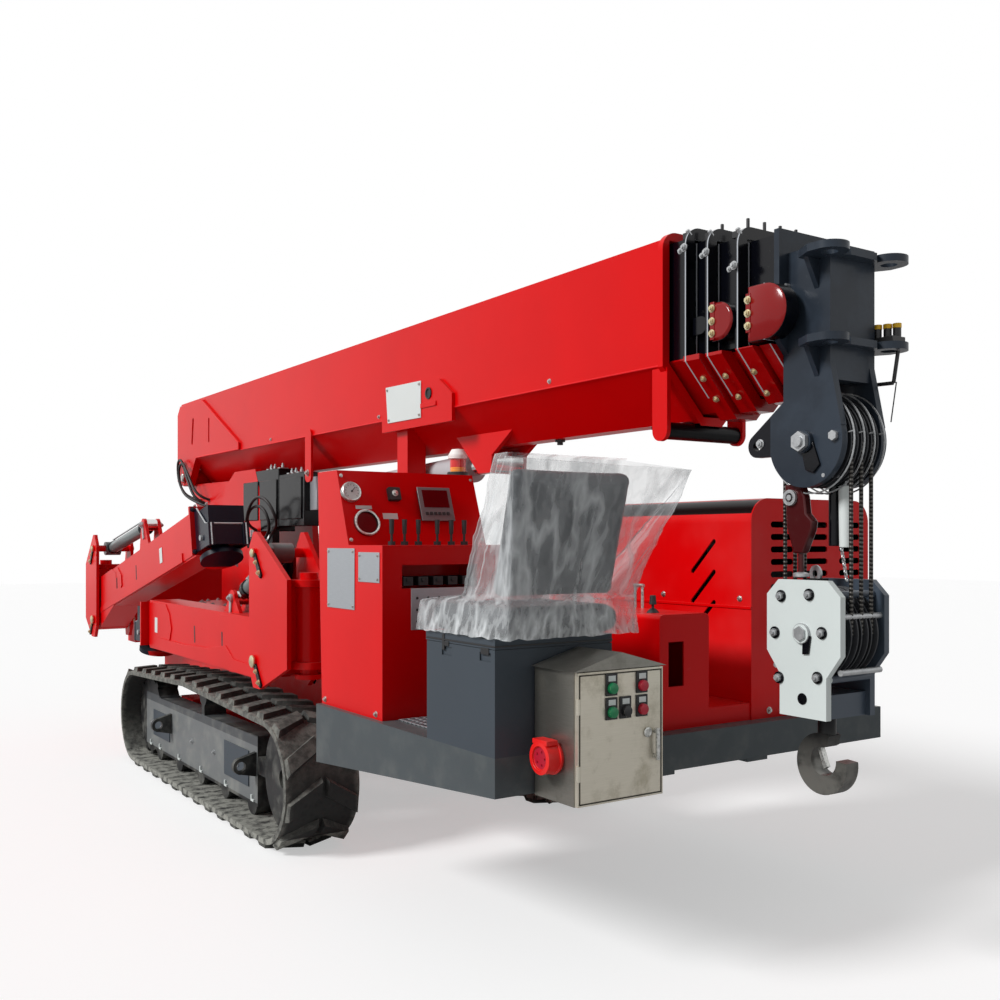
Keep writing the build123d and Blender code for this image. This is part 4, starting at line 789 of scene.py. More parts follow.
class CRANE_OT_stage(bpy.types.Operator):
    """Camera, lamps, floor and world"""

    bl_idname = "crane.stage"
    bl_label = "Stage"

    def execute(self, context):
        scene = context.scene
        camera = bpy.data.objects.new("camera", bpy.data.cameras.new("camera"))
        scene.collection.objects.link(camera)
        camera.location = (4.950, -2.593, 1.340)
        camera.rotation_euler = (math.radians(90), 0, math.radians(56.3))
        camera.data.lens = 38.376
        camera.data.shift_y = 0.04
        scene.camera = camera
        scene.view_settings.view_transform = "Standard"

        world = bpy.data.worlds.new("studio")
        world.use_nodes = True
        tree = world.node_tree
        back = tree.nodes["Background"]
        rays = tree.nodes.new("ShaderNodeLightPath")
        seen = tree.nodes.new("ShaderNodeMath")
        seen.operation = "MAXIMUM"
        tree.links.new(rays.outputs["Is Camera Ray"], seen.inputs[0])
        tree.links.new(rays.outputs["Is Transmission Ray"], seen.inputs[1])
        bright = tree.nodes.new("ShaderNodeMath")
        bright.operation = "MAXIMUM"
        tree.links.new(seen.outputs[0], bright.inputs[0])
        tree.links.new(rays.outputs["Is Glossy Ray"], bright.inputs[1])
        level = tree.nodes.new("ShaderNodeMapRange")
        level.inputs["To Min"].default_value = 0.27
        level.inputs["To Max"].default_value = 1.0
        tree.links.new(bright.outputs[0], level.inputs["Value"])
        tree.links.new(level.outputs[0], back.inputs["Strength"])
        back.inputs["Color"].default_value = (1, 1, 1, 1)
        scene.world = world

        mesh = bmesh.new()
        bmesh.ops.create_grid(mesh, size=30)
        data = bpy.data.meshes.new("floor")
        mesh.to_mesh(data)
        mesh.free()
        floor = bpy.data.objects.new("floor", data)
        floor.location = (0, 0, -0.0005)
        scene.collection.objects.link(floor)
        finish = Finish("floor", (0.62, 0.62, 0.62), 0.9, Specular_IOR_Level=0.1)
        glow = finish.node("ShaderNodeEmission", None, {"Color": (1, 1, 1, 1), "Strength": 0.46})
        ray = finish.node("ShaderNodeLightPath", output="Is Camera Ray")
        both = finish.tree.nodes.new("ShaderNodeAddShader")
        finish.tree.links.new(finish.shader.outputs[0], both.inputs[0])
        finish.tree.links.new(glow.socket, both.inputs[1])
        choose = finish.tree.nodes.new("ShaderNodeMixShader")
        finish.tree.links.new(ray.socket, choose.inputs[0])
        finish.tree.links.new(finish.shader.outputs[0], choose.inputs[1])
        finish.tree.links.new(both.outputs[0], choose.inputs[2])
        finish.tree.links.new(choose.outputs[0], finish.output.inputs["Surface"])
        floor.data.materials.append(finish.material)

        for name, kind, power, size, place, aim in (
            ("key", "SUN", 2.75, 0.3, (-1.0, -6.0, 4.4), (0, 0, 0)),
            ("front_fill", "AREA", 9, 4.0, (7.5, 1.5, 4.0), (0.5, 0, 1.0)),
        ):
            lamp = bpy.data.objects.new(name, bpy.data.lights.new(name, kind))
            lamp.data.energy = power
            if kind == "SUN":
                lamp.data.angle = size
            else:
                lamp.data.size = size
            lamp.location = place
            lamp.rotation_euler = (Vector(aim) - Vector(place)).to_track_quat("-Z", "Y").to_euler()
            scene.collection.objects.link(lamp)
        return {"FINISHED"}


# Hoses between the turret's valves, its cylinder and the boom's tail:
# name, body, points in millimetres
HOSES = (
    ("arc_hose_1", "turret", (
        (-1340, -191, 1280), (-1330, -250, 1300), (-1240, -310, 1470), (-1060, -320, 1600), (-900, -300, 1575),
        (-870, -250, 1440), (-990, -228, 1400), (-1120, -224, 1290), (-1300, -230, 1200), (-1380, -191, 1190),
    )),
    ("arc_hose_2", "turret", (
        (-1360, -191, 1400), (-1340, -270, 1430), (-1180, -300, 1540), (-1020, -280, 1540),
        (-980, -250, 1420), (-1120, -230, 1340), (-1320, -225, 1300), (-1400, -191, 1290),
    )),
    ("tail_hose_1", "turret", (
        (-2440, -158, 1600), (-2440, -230, 1620), (-2560, -246, 1760), (-2700, -246, 1930),
        (-2820, -240, 1900), (-2800, -232, 1740), (-2640, -215, 1640), (-2520, -158, 1620),
    )),
    ("tail_hose_2", "turret", (
        (-2340, -158, 1620), (-2340, -250, 1640), (-2480, -268, 1800), (-2600, -268, 1900),
        (-2720, -262, 1850), (-2700, -250, 1700), (-2560, -220, 1620), (-2420, -158, 1580),
    )),
)


class CRANE_OT_hoses(bpy.types.Operator):
    """Hydraulic hoses on the turret"""

    bl_idname = "crane.hoses"
    bl_label = "Hoses"

    def execute(self, context):
        for name, body, points in HOSES:
            curve = bpy.data.curves.new(name, "CURVE")
            curve.dimensions = "3D"
            curve.bevel_depth = sizes().hose / 2
            curve.bevel_resolution = 4
            curve.resolution_u = 12
            curve.use_fill_caps = True
            line = curve.splines.new("NURBS")
            line.points.add(len(points) - 1)
            for spot, place in zip(line.points, points):
                spot.co = (*at(*place), 1)
            line.order_u = 3
            line.use_endpoint_u = True
            hose = bpy.data.objects.new(name, curve)
            context.scene.collection.objects.link(hose)
            curve.materials.append(finish_of("hose_rubber"))
            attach(hose, body)
            context.view_layer.update()
        return {"FINISHED"}


class CRANE_OT_finishes(bpy.types.Operator):
    """Gives every node of the frame its finish"""

    bl_idname = "crane.finishes"
    bl_label = "Finishes"

    def execute(self, context):
        for name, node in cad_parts.items():
            label = next((look for part, look in NODE_FINISHES if part in name), None)
            if label is None:
                raise RuntimeError(f"{name} has no finish")
            material = finish_of(label)
            if not node.material_slots:
                raise RuntimeError(f"{name} has no material slot")
            for place in node.material_slots:
                place.material = material
        return {"FINISHED"}


# Seat


def puffed(name, low, high, swell, radius):
    """A crowned cushion between two corners, in millimetres, its sides pulled in between the corners."""
    mesh = bmesh.new()
    inset = 12
    block(mesh, *[(a + inset, b - inset) for a, b in zip(low, high)])
    bmesh.ops.bevel(
        mesh, geom=mesh.edges[:], offset=radius * MM, segments=4, profile=0.5, affect="EDGES", material=-1
    )
    data = bpy.data.meshes.new(name)
    mesh.to_mesh(data)
    mesh.free()
    made = bpy.data.objects.new(name, data)
    bpy.context.scene.collection.objects.link(made)
    remesh = made.modifiers.new("even", "REMESH")
    remesh.mode = "VOXEL"
    remesh.voxel_size = 0.006
    apply_modifiers(made)
    simulate(made, swell * MM)
    return made


def apply_modifiers(made):
    bpy.context.view_layer.update()
    graph = bpy.context.evaluated_depsgraph_get()
    data = bpy.data.meshes.new_from_object(made.evaluated_get(graph))
    made.modifiers.clear()
    made.data = data


def simulate(made, cap):
    """Blows the cushion up as cloth, no point by more than the cap."""
    scene = bpy.context.scene
    rest = [v.co.copy() for v in made.data.vertices]
    cloth = made.modifiers.new("cloth", "CLOTH")
    cloth.settings.use_pressure = True
    cloth.settings.uniform_pressure_force = 4
    cloth.settings.effector_weights.gravity = 0
    cloth.settings.quality = 4
    first, last = 1, 20
    cloth.point_cache.frame_start = first
    cloth.point_cache.frame_end = last
    for step in range(first, last + 1):
        scene.frame_set(step)
    apply_modifiers(made)
    for v, before in zip(made.data.vertices, rest):
        moved = v.co - before
        if moved.length > cap:
            v.co = before + moved.normalized() * cap
    scene.frame_set(first)


class CRANE_OT_seat(bpy.types.Operator):
    """Cushion and backrest, and the clear film over them"""

    bl_idname = "crane.seat"
    bl_label = "Seat"

    def execute(self, context):
        swell, radius = 10, 26
        for name, node in (("cushion", "seat_cushion"), ("back_pad", "seat_backrest")):
            low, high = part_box(node)
            low, high = [c / MM for c in low], [c / MM for c in high]
            if name == "back_pad":
                lean, thick, tall = math.radians(15), 85, 424
                made = puffed(name, (0, low[1], 0), (thick, high[1], tall), swell, radius)
                foot = Matrix.Translation(at(high[0] - tall * math.sin(lean) - 2, 0, low[2]))
                made.data.transform(foot @ Matrix.Rotation(lean, 4, "Y") @ Matrix.Translation(at(-thick, 0, 0)))
                cut = bmesh.new()
                cut.from_mesh(made.data)
                bmesh.ops.bisect_plane(
                    cut, geom=cut.verts[:] + cut.edges[:] + cut.faces[:], plane_co=at(0, 0, low[2] + 1),
                    plane_no=(0, 0, -1), clear_outer=True,
                )
                bmesh.ops.holes_fill(cut, edges=[e for e in cut.edges if e.is_boundary])
                cut.to_mesh(made.data)
                cut.free()
            else:
                made = puffed(name, low, high, swell, radius)
            made.data.materials.append(finish_of("seat_vinyl"))
            made.data.shade_smooth()
            fine = made.modifiers.new("smooth", "SUBSURF")
            fine.levels = fine.render_levels = 1
            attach(made, "chassis")
            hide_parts(node)
        film_bag()
        return {"FINISHED"}


# The seat's clear bag, in millimetres: hem limits, hem height, top ring and its far flap
BAG = {"x": (1914, 2436), "y": (-897, -398), "hem": 1052, "front": 2366, "rear": 2464, "top": 1590,
       "near": -889, "far": (2452, -190, 1562)}


def film_bag():
    """A clear bag pulled down over the seat, with its far top corner left as a flap."""
    around, rise = 132, 52
    mesh = bmesh.new()
    layer = mesh.loops.layers.uv.new("bag")
    bmesh.ops.create_grid(mesh, x_segments=around, y_segments=rise, size=0.5)
    for face in mesh.faces:
        for loop in face.loops:
            loop[layer].uv = (loop.vert.co.x + 0.5, loop.vert.co.y + 0.5)
    for v in mesh.verts:
        v.co = bag_point(v.co.x + 0.5, v.co.y + 0.5)
    bmesh.ops.remove_doubles(mesh, verts=mesh.verts, dist=0.0004)
    area = sum(face.calc_area() for face in mesh.faces)
    made = piece("seat_film", mesh, "chassis", "clear_film", smooth=0)
    made.data.shade_smooth()
    area / 1.5
    return made


def bag_point(turn, up):
    """A place on the bag: turn from 0 to 1 round it, and up from its hem to its top fold."""
    (x0, x1), (y0, y1), base = BAG["x"], BAG["y"], BAG["hem"]
    far = Vector(BAG["far"])
    front = Vector((BAG["front"], BAG["near"], BAG["top"]))
    rear = Vector((BAG["rear"], BAG["near"], BAG["top"] - 14))
    side = (turn * 4) % 4
    if side < 1:
        hem, ring = Vector((x1 + (x0 - x1) * side, y0, base)), rear.lerp(front, side)
    elif side < 2:
        hem = Vector((x0, y0 + (y1 - y0) * (side - 1), base))
        ring = front.lerp(Vector((BAG["front"], -420, BAG["top"])), min(1, (side - 1) * 1.25))
        ring = ring.lerp(far, max(0, side - 1.8) * 5)
    elif side < 3:
        hem, ring = Vector((x0 + (x1 - x0) * (side - 2), y1, base)), far
    else:
        hem = Vector((x1, y1 + (y0 - y1) * (side - 3), base))
        ring = far.lerp(rear, side - 3)
    ridge = Vector(((BAG["front"] + BAG["rear"]) / 2, max(ring.y, BAG["near"] + 12), ring.z + 3))
    ridge.x = min(ridge.x, far.x) if ring.y < -420 else ring.x
    middle = Vector((x1, (y0 + y1) / 2, base))
    shoulder = hem + Vector((0, 0, 98)) + (middle - hem).normalized() * 16
    bend = Vector((max(shoulder.x, 2196), shoulder.y, base + 124))
    stops = ((0.0, hem), (0.18, shoulder), (0.38, bend), (0.94, ring), (1.0, ridge))
    for (a, first), (b, second) in zip(stops, stops[1:]):
        if up <= b:
            place = first.lerp(second, (up - a) / (b - a))
            break
    spread = math.sin(math.pi * min(1.0, up * 1.04)) ** 0.7 if up < 0.96 else 0.0
    lift = 0.25 + 0.75 * min(1.0, up * 2.5)
    fold = math.sin(turn * math.tau * 13 + 1.6 * math.sin(up * 5.0)) * 7
    crumple = noise.noise(Vector((place.x, place.y, place.z * 0.5)) * 0.014) * 15
    crumple += noise.noise(Vector((place.x, place.y, place.z * 0.7)) * 0.05) * 6
    out = Vector((place.x - 2300, place.y + 645, 0))
    out = out.normalized() if out.length else Vector((1, 0, 0))
    place = place + out * max(fold * 0.6 + crumple, -6) * spread * lift
    place.z += noise.noise(Vector((place.x, place.y, 7)) * 0.03) * 6 * (up < 0.3)
    place.x = min(place.x, 2466)
    place.y = max(place.y, -904)
    return place * MM


# Outriggers: the frame of each pair runs along the beam, outward and up, from the beam's pin
LEGS = {
    "front": {"way": -1, "pin": 320, "tilt": 0.0, "under": -92, "height": 283, "length": 1826,
              "lug": (510, 262)},
    "rear": {"way": 1, "pin": -2740, "tilt": 11.6, "under": 31, "height": 245, "length": 2180,
             "lug": (1060, 438)},
}
# The beams' lines beside the crane's middle, and the ram's upper pin over the beam's
LEG_Y = 715
RAM_RISE = 490


def leg_frame(end, side, level=False):
    """The matrix from along, outward and up at a beam's pin to the crane."""
    leg = LEGS[end]
    tilt = 0.0 if level else math.radians(leg["tilt"])
    out = -1 if side == "right" else 1
    way = leg["way"]
    place = Matrix.Identity(4)
    place.col[0][:3] = (way * math.cos(tilt), 0, math.sin(tilt))
    place.col[1][:3] = (0, out, 0)
    place.col[2][:3] = (-way * math.sin(tilt), 0, math.cos(tilt))
    place.col[3][:3] = at(leg["pin"], out * LEG_Y, BEAM_PIN_Z / MM)
    return place


def foot_pieces(name, leg, place):
    """The shoe round the foot box, with bright edges, and its bolts."""
    end = leg["length"]
    mid = leg["under"] + leg["height"] / 2
    shoe, bright = meshes(2)
    cheek = [(end + u, w) for u, w in ((49, 112), (80, 112), (205, 6), (248, -4), (248, -116), (49, -116))]
    for out in (-1, 1):
        plate(shoe, [(u, out * 96, mid + w) for u, w in cheek], (0, out * 10, 0))
        for (u0, w0), (u1, w1) in zip(cheek[1:], cheek[2:4]):
            rod(bright, (u0, out * 101, mid + w0), (u1, out * 101, mid + w1), 4.5, 8)
        block(shoe, (end + 246, end + 262), (out * 76, out * 108), (mid - 118, mid))
        rod(bright, (end + 263, out * 92, mid - 2), (end + 263, out * 92, mid - 116), 4, 8)
        rod(bright, (end + 150, out * 98, mid - 60), (end + 150, out * 118, mid - 60), 15, 20)
        bolt(shoe, (end + 48, out * 113, mid + 113), (1, 0, 0), 11)
        bolt(shoe, (end + 48, out * 113, mid - 113), (1, 0, 0), 11)
    block(shoe, (end + 236, end + 250), (-96, 96), (mid - 112, mid - 10))
    rod(bright, (end + 250, -106, mid - 4), (end + 250, 106, mid - 4), 5, 10)
    piece(f"{name}_shoe", shoe, f"{name}_foot", "shoe_paint", bevel=1.5, place=place)
    piece(f"{name}_shoe_edges", bright, f"{name}_foot", "worn_steel", place=place)


def beam_pieces(name, leg, place):
    """Doubler plates, slits drawn as black insets painted as the shade inside them, the lifting lug's pin and
    keeper, and a blank patch on the right.
    """
    low, high = leg["under"], leg["under"] + leg["height"]
    mid = (low + high) / 2
    end = leg["length"]
    plates, pipes, slits = meshes(3)
    for out in (-1, 1):
        wall = out * 93
        plate(plates, [(u, wall - out * 9, w) for u, w in (
            (300, low + 8), (560, low + 42), (640, mid - 20), (640, mid + 44), (560, high - 14),
            (300, high - 8))], (0, out * 7, 0))
        plate(plates, [(u, out * 84.5, w) for u, w in (
            (end - 330, low + 10), (end - 6, low + 10), (end - 6, high - 10), (end - 330, high - 10),
            (end - 400, high - 60), (end - 440, mid), (end - 400, low + 60))], (0, out * 6, 0))
        # Slits: black insets, painted shade inside the beam's relief slits
        for u in (30, 470, 920):
            face = 93 if u < 400 else 85
            rod(slits, (u + 60, out * (face + 0.2), mid - 38), (u + 60, out * (face + 0.8), mid - 38), 9, 12)
            plate(slits, [(u + 51, out * 84, mid - 38), (u + 69, out * 84, mid - 38),
                          (u + 74, out * 84, mid + 44), (u + 58, out * 84, mid + 44)],
                  (0, out * (9.9 if u < 400 else (8.0 if u < 700 else 1.7)), 0))
    wave = ((leg["length"] - 234, -26), (1153, -30), (760, -16), (560, 10), (470, 22), (361, -34), (-20, -46))
    for out in (-1, 1):
        plate(plates, [(u, out * 84, mid - 40 + w) for u, w in wave]
              + [(-20, out * 84, low + 6), (leg["length"] - 234, out * 84, low + 6)], (0, out * 13, 0))
    lug_u, lug_w = leg["lug"]
    rod(pipes, (lug_u, -62, lug_w), (lug_u, 62, lug_w), 20, 20)
    for out in (-1, 1):
        bolt(pipes, (lug_u, out * 62, lug_w), (0, out, 0), 13)
        plate(pipes, [(lug_u - 10, out * 51, lug_w), (lug_u + 14, out * 51, lug_w),
                      (lug_u + 26, out * 51, lug_w - 88), (lug_u + 2, out * 51, lug_w - 92)], (0, out * 7, 0))
    piece(f"{name}_beam_plates", plates, f"{name}_beam", "red_paint", bevel=1.2, place=place)
    piece(f"{name}_beam_slits", slits, f"{name}_beam", "black_plastic", place=place)
    piece(f"{name}_beam_pipes", pipes, f"{name}_beam", "worn_steel", place=place)
    if name.startswith("right"):
        patch = bmesh.new()
        start, face = (1650, 90) if leg["way"] < 0 else (1500, 86)
        block(patch, (start, start + 52), (face, face + 1.6), (mid - 42, mid + 46))
        piece(f"{name}_beam_plate", patch, f"{name}_beam", "white_paint", bevel=0.5, place=place)


def bracket_pieces(name, place):
    """Pin caps with keeper plates on both pins."""
    pins, dark = meshes(2)
    for height in (0, RAM_RISE):
        radius = 30 if height == 0 else 22
        for out in (-1, 1):
            lathe(pins, ((0, 0), (radius - 5, 0), (radius - 2, 3), (radius - 2, 9), (radius - 9, 13), (0, 13)),
                  (0, out * 132, height), (0, out, 0), 20)
            plate(dark, [(u, out * 125, height + w) for u, w in (
                (12, 6), (-6, 20), (-98, -96), (-84, -112), (-66, -104))], (0, out * 9, 0))
            bolt(pins, (-74, out * 134, height - 88), (0, out, 0), 11)
            bolt(pins, (-38, out * 134, height - 42), (0, out, 0), 10)
    piece(f"{name}_pins", pins, f"{name}_bracket", "brass_zinc", place=place)
    piece(f"{name}_keepers", dark, f"{name}_bracket", "black_paint", bevel=1.0, place=place)


def ram_pieces(name, leg, end, side):
    """Gland, ports and the pressure pipe of a lifting ram."""
    level, tilted = leg_frame(end, side, True), leg_frame(end, side)
    top = level @ at(0, 0, RAM_RISE)
    lug = tilted @ at(leg["lug"][0], 0, leg["lug"][1])
    length = (lug - top).length / MM
    place = turned(top, lug - top)
    gland, pipe = meshes(2)
    face = length - 95
    for ring in (((38, face - 40), (46, face - 38), (46, face - 4), (42, face + 2), (24, face + 4)),
                 ((38, 66), (44, 64), (44, 40), (38, 38))):
        lathe(gland, ring, (0, 0, 0), (0, 0, 1), 28)
    up = place.inverted().to_3x3() @ Vector((0, 0, 1))
    up = Vector((up.x, up.y, 0)).normalized()
    for s in (52, face - 22):
        rod(pipe, up * 40 + Vector((0, 0, s)), up * 58 + Vector((0, 0, s)), 9, 6)
    rod(pipe, up * 56 + Vector((0, 0, 52)), up * 56 + Vector((0, 0, face - 22)), 5, 10)
    piece(f"{name}_ram_gland", gland, f"{name}_ram_barrel", "black_paint", place=place)
    piece(f"{name}_ram_pipe", pipe, f"{name}_ram_barrel", "worn_steel", place=place)


class CRANE_OT_outriggers(bpy.types.Operator):
    """Shoes, pins, plates and pipes of the four outriggers"""

    bl_idname = "crane.outriggers"
    bl_label = "Outrigger fittings"

    def execute(self, context):
        for end, leg in LEGS.items():
            for side in ("right", "left"):
                name = f"{side}_{end}"
                foot_pieces(name, leg, leg_frame(end, side))
                beam_pieces(name, leg, leg_frame(end, side))
                bracket_pieces(name, leg_frame(end, side, True))
                ram_pieces(name, leg, end, side)
        return {"FINISHED"}


# Boom

# Height of the bend in the boom's side wall
BOOM_KNEE = 1915
# Front end, half width and top of each sliding section's collar, its side bolt's height
COLLARS = (
    ("section_2", 2450, 213, 2343, 2275),
    ("section_3", 2530, 195, 2325, 2245),
    ("section_4", 2640, 186, 2307, 2181),
)
# Side housings: section, rear, front, middle height, radius, outer face
HOUSINGS = (("section_4", 2540, 2628, 2021, 60, 186), ("section_5", 2684, 2834, 2021, 84, 180))


class CRANE_OT_boom(bpy.types.Operator):
    """Blank sign plate, weld beads in a lighter red painted as highlights, collar bolts, studs and housing caps
    of the boom
    """

    bl_idname = "crane.boom"
    bl_label = "Boom fittings"

    def execute(self, context):
        sign, rivets, bead, dark, red = meshes(5)
        wall = -216
        plate(sign, [(406, wall, 2067), (745, wall, 2060), (745, wall, 1893), (426, wall, 1895)], (0, -4, 0))
        for x, z in ((424, 2052), (732, 2046), (732, 1907), (440, 1908)):
            bolt(rivets, (x, wall - 4, z), (0, -1, 0), 6)
        # A black ring and disc beside the sign: painted shade inside a hole in the side wall
        lathe(dark, ((0, 0), (26, 0), (26, 5), (19, 5), (17, 1), (0, 1)), (812, wall, 1996), (0, -1, 0), 24)
        block(red, (742, 880), (wall - 5, wall), (1934, 1956))
        for out in (-1, 1):
            tail = out * 212.5
            corner, heel = (-1620, 1960), (-1620, 1919)
            # Beads along the tail doubler's edges and the knee, in a lighter red painted as highlight
            for a, b in (((-2355, 2315), corner), (corner, heel), ((-2480, 1919), heel)):
                rod(bead, (a[0], tail, a[1]), (b[0], tail, b[1]), 4.5, 8)
            rod(bead, (-2850, out * 200.5, BOOM_KNEE), (2326, out * 200.5, BOOM_KNEE), 3, 8)
            for x in (-2500, -1100, 300, 1700):
                bolt(rivets, (x, out * 200, 1940), (0, out, 0), 8)
            cap = ((0, 0), (30, 0), (30, 8), (24, 14), (0, 14))
            lathe(rivets, cap, (-2730, out * 221.5, 1790), (0, out, 0), 24)
        bolt(rivets, (-530, -212, 1710), (0, -1, 0), 15)
        for x in (1500, 2080, 2240):
            rod(dark, (x, 0, 1736), (x, 0, 1750), 22, 6)
            rod(dark, (x, 0, 1724), (x, 0, 1738), 12, 12)
        piece("boom_sign", sign, "boom_base", "white_paint", bevel=1.0)
        piece("boom_rivets", rivets, "boom_base", "zinc")
        piece("boom_beads", bead, "boom_base", "bead_paint")
        piece("boom_dark_bits", dark, "boom_base", "black_plastic")
        piece("boom_bracket_strip", red, "boom_base", "red_paint", bevel=1.5)
        for name, front, half, top, side_z in COLLARS:
            bolts, steel, pads = meshes(3)
            for out in (-1, 1):
                bolt(steel, (front - 8, out * half, side_z), (0, out, 0), 11)
                bolt(steel, (front - 30, out * (half - 4), side_z - 6), (0, out, 0), 8)
                lean = Vector((0, out * 0.7, 0.7))
                spot = Vector((front - 6, out * (half - 20), top - 20))
                across = sorted((out * (half - 62), out * (half - 24)))
                block(pads, (front - 40, front - 14), across, (top - 34, top - 12))
                rod(steel, spot - lean * 8, spot + lean * 12, 7, 10)
                for share in (0.3, 0.68):
                    y = out * (half - 4 - share * 150)
                    z = BOOM_KNEE - 12 - share * 160
                    bolt(bolts, (front + 28, y, z), (0, out * 0.73, -0.69), 9)
            stud_top = min(2350, top + 34)
            for y in (-110, -36, 36, 110):
                rod(pads, (front - 22, y, top - 42), (front - 22, y, stud_top), 5.5, 10)
                rod(pads, (front - 22, y, top - 16), (front - 22, y, top - 2), 11, 6)
                block(pads, (front - 36, front - 8), (y - 22, y + 22), (top - 50, top - 14))
            piece(f"{name}_bolts", bolts, name, "brass_zinc")
            piece(f"{name}_adjusters", steel, name, "worn_steel")
            piece(f"{name}_pads", pads, name, "black_plastic", bevel=1.5)
        for name, rear, front, z, radius, outer in HOUSINGS:
            cap, strip, screws = meshes(3)
            for out in (-1, 1):
                ring = [(rear, z - radius), (rear, z + radius)]
                middle = front - radius + 1
                ring += [(middle + radius * math.sin(a), z + radius * math.cos(a)) for a in
                         [math.pi * step / 14 for step in range(15)]]
                corners = [(x, out * outer, h) for x, h in ring[1:] + ring[:1]]
                swell = plate(cap, corners, (0, out * 7, 0))
                far = [v for v in swell if v.is_valid]
                bmesh.ops.scale(cap, vec=(0.86, 1, 0.86), verts=far,
                                space=Matrix.Translation(-at((rear + front) / 2, 0, z)))
                across = sorted((out * (outer - 6), out * (outer + 9)))
                block(strip, (rear - 2, rear + 16), across, (z - 56, z + 62))
                for step in (-36, 2, 42):
                    bolt(screws, (rear + 7, out * (outer + 9), z + step), (0, out, 0), 10)
            piece(f"{name}_cap", cap, name, "housing_red", bevel=2)
            piece(f"{name}_strip", strip, name, "housing_red", bevel=1)
            piece(f"{name}_screws", screws, name, "brass_zinc")
        return {"FINISHED"}


class CRANE_OT_head(bpy.types.Operator):
    """Pins, with black plates painted as the pin nuts' shadows, rope guard, rope socket, switch weight and plug
    at the boom head
    """

    bl_idname = "crane.head"
    bl_label = "Head fittings"

    def execute(self, context):
        metal, dark = meshes(2)
        for out in (-1, 1):
            rod(metal, (2832, out * 115, 1630), (2832, out * 130, 1630), 30, 6)
            rod(metal, (2832, out * 128, 1630), (2832, out * 138, 1630), 17, 16)
            # A black plate down from each pin nut: its painted shadow
            plate(dark, [(2814, out * 100, 1650), (2862, out * 100, 1640), (2892, out * 100, 1560),
                         (2868, out * 100, 1536), (2840, out * 100, 1546)], (0, out * 8, 0))
            rod(metal, (2940, out * 100, 1640), (2940, out * 112, 1640), 15, 6)
            bolt(metal, (2660, out * 100, 1636), (0, out, 0), 12)
        rod(metal, (2940, -101, 1640), (2940, 101, 1640), 7, 12)
        rod(metal, (2900, -101, 1528), (2900, 101, 1528), 6, 12)
        rod(metal, (2771, -118, 2100), (2771, -98, 2100), 8, 12)
        piece("head_metal", metal, "section_5", "worn_steel")
        piece("head_keepers", dark, "section_5", "black_paint", bevel=1.5)

        guides = bmesh.new()
        for y in (-68, -23, 23, 68):
            rim = ((150, -1.5), (154, -1.5), (154, 1.5), (150, 1.5), (150, -1.5))
            lathe(guides, rim, (2832, y, 1630), (0, 1, 0), 48)
            for turn in (0.15, 2.2, 4.2):
                near, far = [(2832 + r * math.cos(turn), y, 1630 + r * math.sin(turn)) for r in (110, 151)]
                rod(guides, near, far, 2.5, 6)
        piece("sheave_rims", guides, "section_5", "worn_steel")

        wedge, ring, bars, pale = meshes(4)
        plate(wedge, [(x, -72, z) for x, z in (
            (2730, 1508), (2792, 1508), (2806, 1470), (2812, 1420), (2836, 1396), (2832, 1370), (2800, 1300),
            (2764, 1300), (2738, 1380))], (0, 30, 0))
        rod(wedge, (2782, -57, 1306), (2782, -57, 1240), 9, 12)
        lathe(ring, ((14, 0), (24, 0), (24, 9), (14, 9)), (2757, -73, 1468), (0, -1, 0), 24)
        rod(ring, (2757, -72, 1468), (2757, -84, 1468), 9, 12)
        lathe(ring, ((8, 0), (24, 4), (24, 14), (8, 18)), (2782, -57, 1226), (0, 0, 1), 20)
        rod(bars, (2856, 4, 1502), (2856, 4, 1322), 17, 20)
        rod(pale, (2898, 2, 1500), (2898, 2, 1318), 21, 24, 18)
        for x in (2856, 2898):
            rod(ring, (x, 3, 1514), (x, 3, 1500), 2.5, 8)
        for step in range(9):
            spot = Vector((2884 + step * 2.2, 2, 1312 - step * 11))
            turn = Vector((0.4, 1, 0)) if step % 2 else Vector((1, 0.2, 0))
            lathe(ring, ((4.2, -1.6), (7.4, -1.6), (7.4, 1.6), (4.2, 1.6), (4.2, -1.6)), spot, turn, 12)
        piece("rope_socket", wedge, "hook", "brown_paint", bevel=5)
        piece("socket_metal", ring, "hook", "worn_steel")
        piece("switch_weight", bars, "hook", "black_paint", bevel=2)
        piece("switch_weight_pale", pale, "hook", "white_paint", bevel=2)

        plug, caps, wire = meshes(3)
        block(plug, (2905, 2985), (104, 164), (1925, 1942))
        for x, y in ((2918, 124), (2944, 136), (2968, 148)):
            rod(plug, (x, y, 1924), (x, y, 1972), 12, 12)
            rod(caps, (x, y, 1970), (x, y, 1984), 13, 12)
        rod(plug, (2982, 134, 1900), (2966, 134, 1806), 6, 8)
        rod(plug, (2966, 134, 1806), (2890, 120, 1806), 6, 8)
        rod(wire, (2976, 134, 1808), (2960, 130, 1690), 2, 8)
        piece("head_plugs", plug, "section_5", "black_plastic", bevel=1)
        piece("head_plug_caps", caps, "section_5", "yellow_plastic", bevel=1)
        piece("head_wire", wire, "section_5", "hose_rubber")
        return {"FINISHED"}


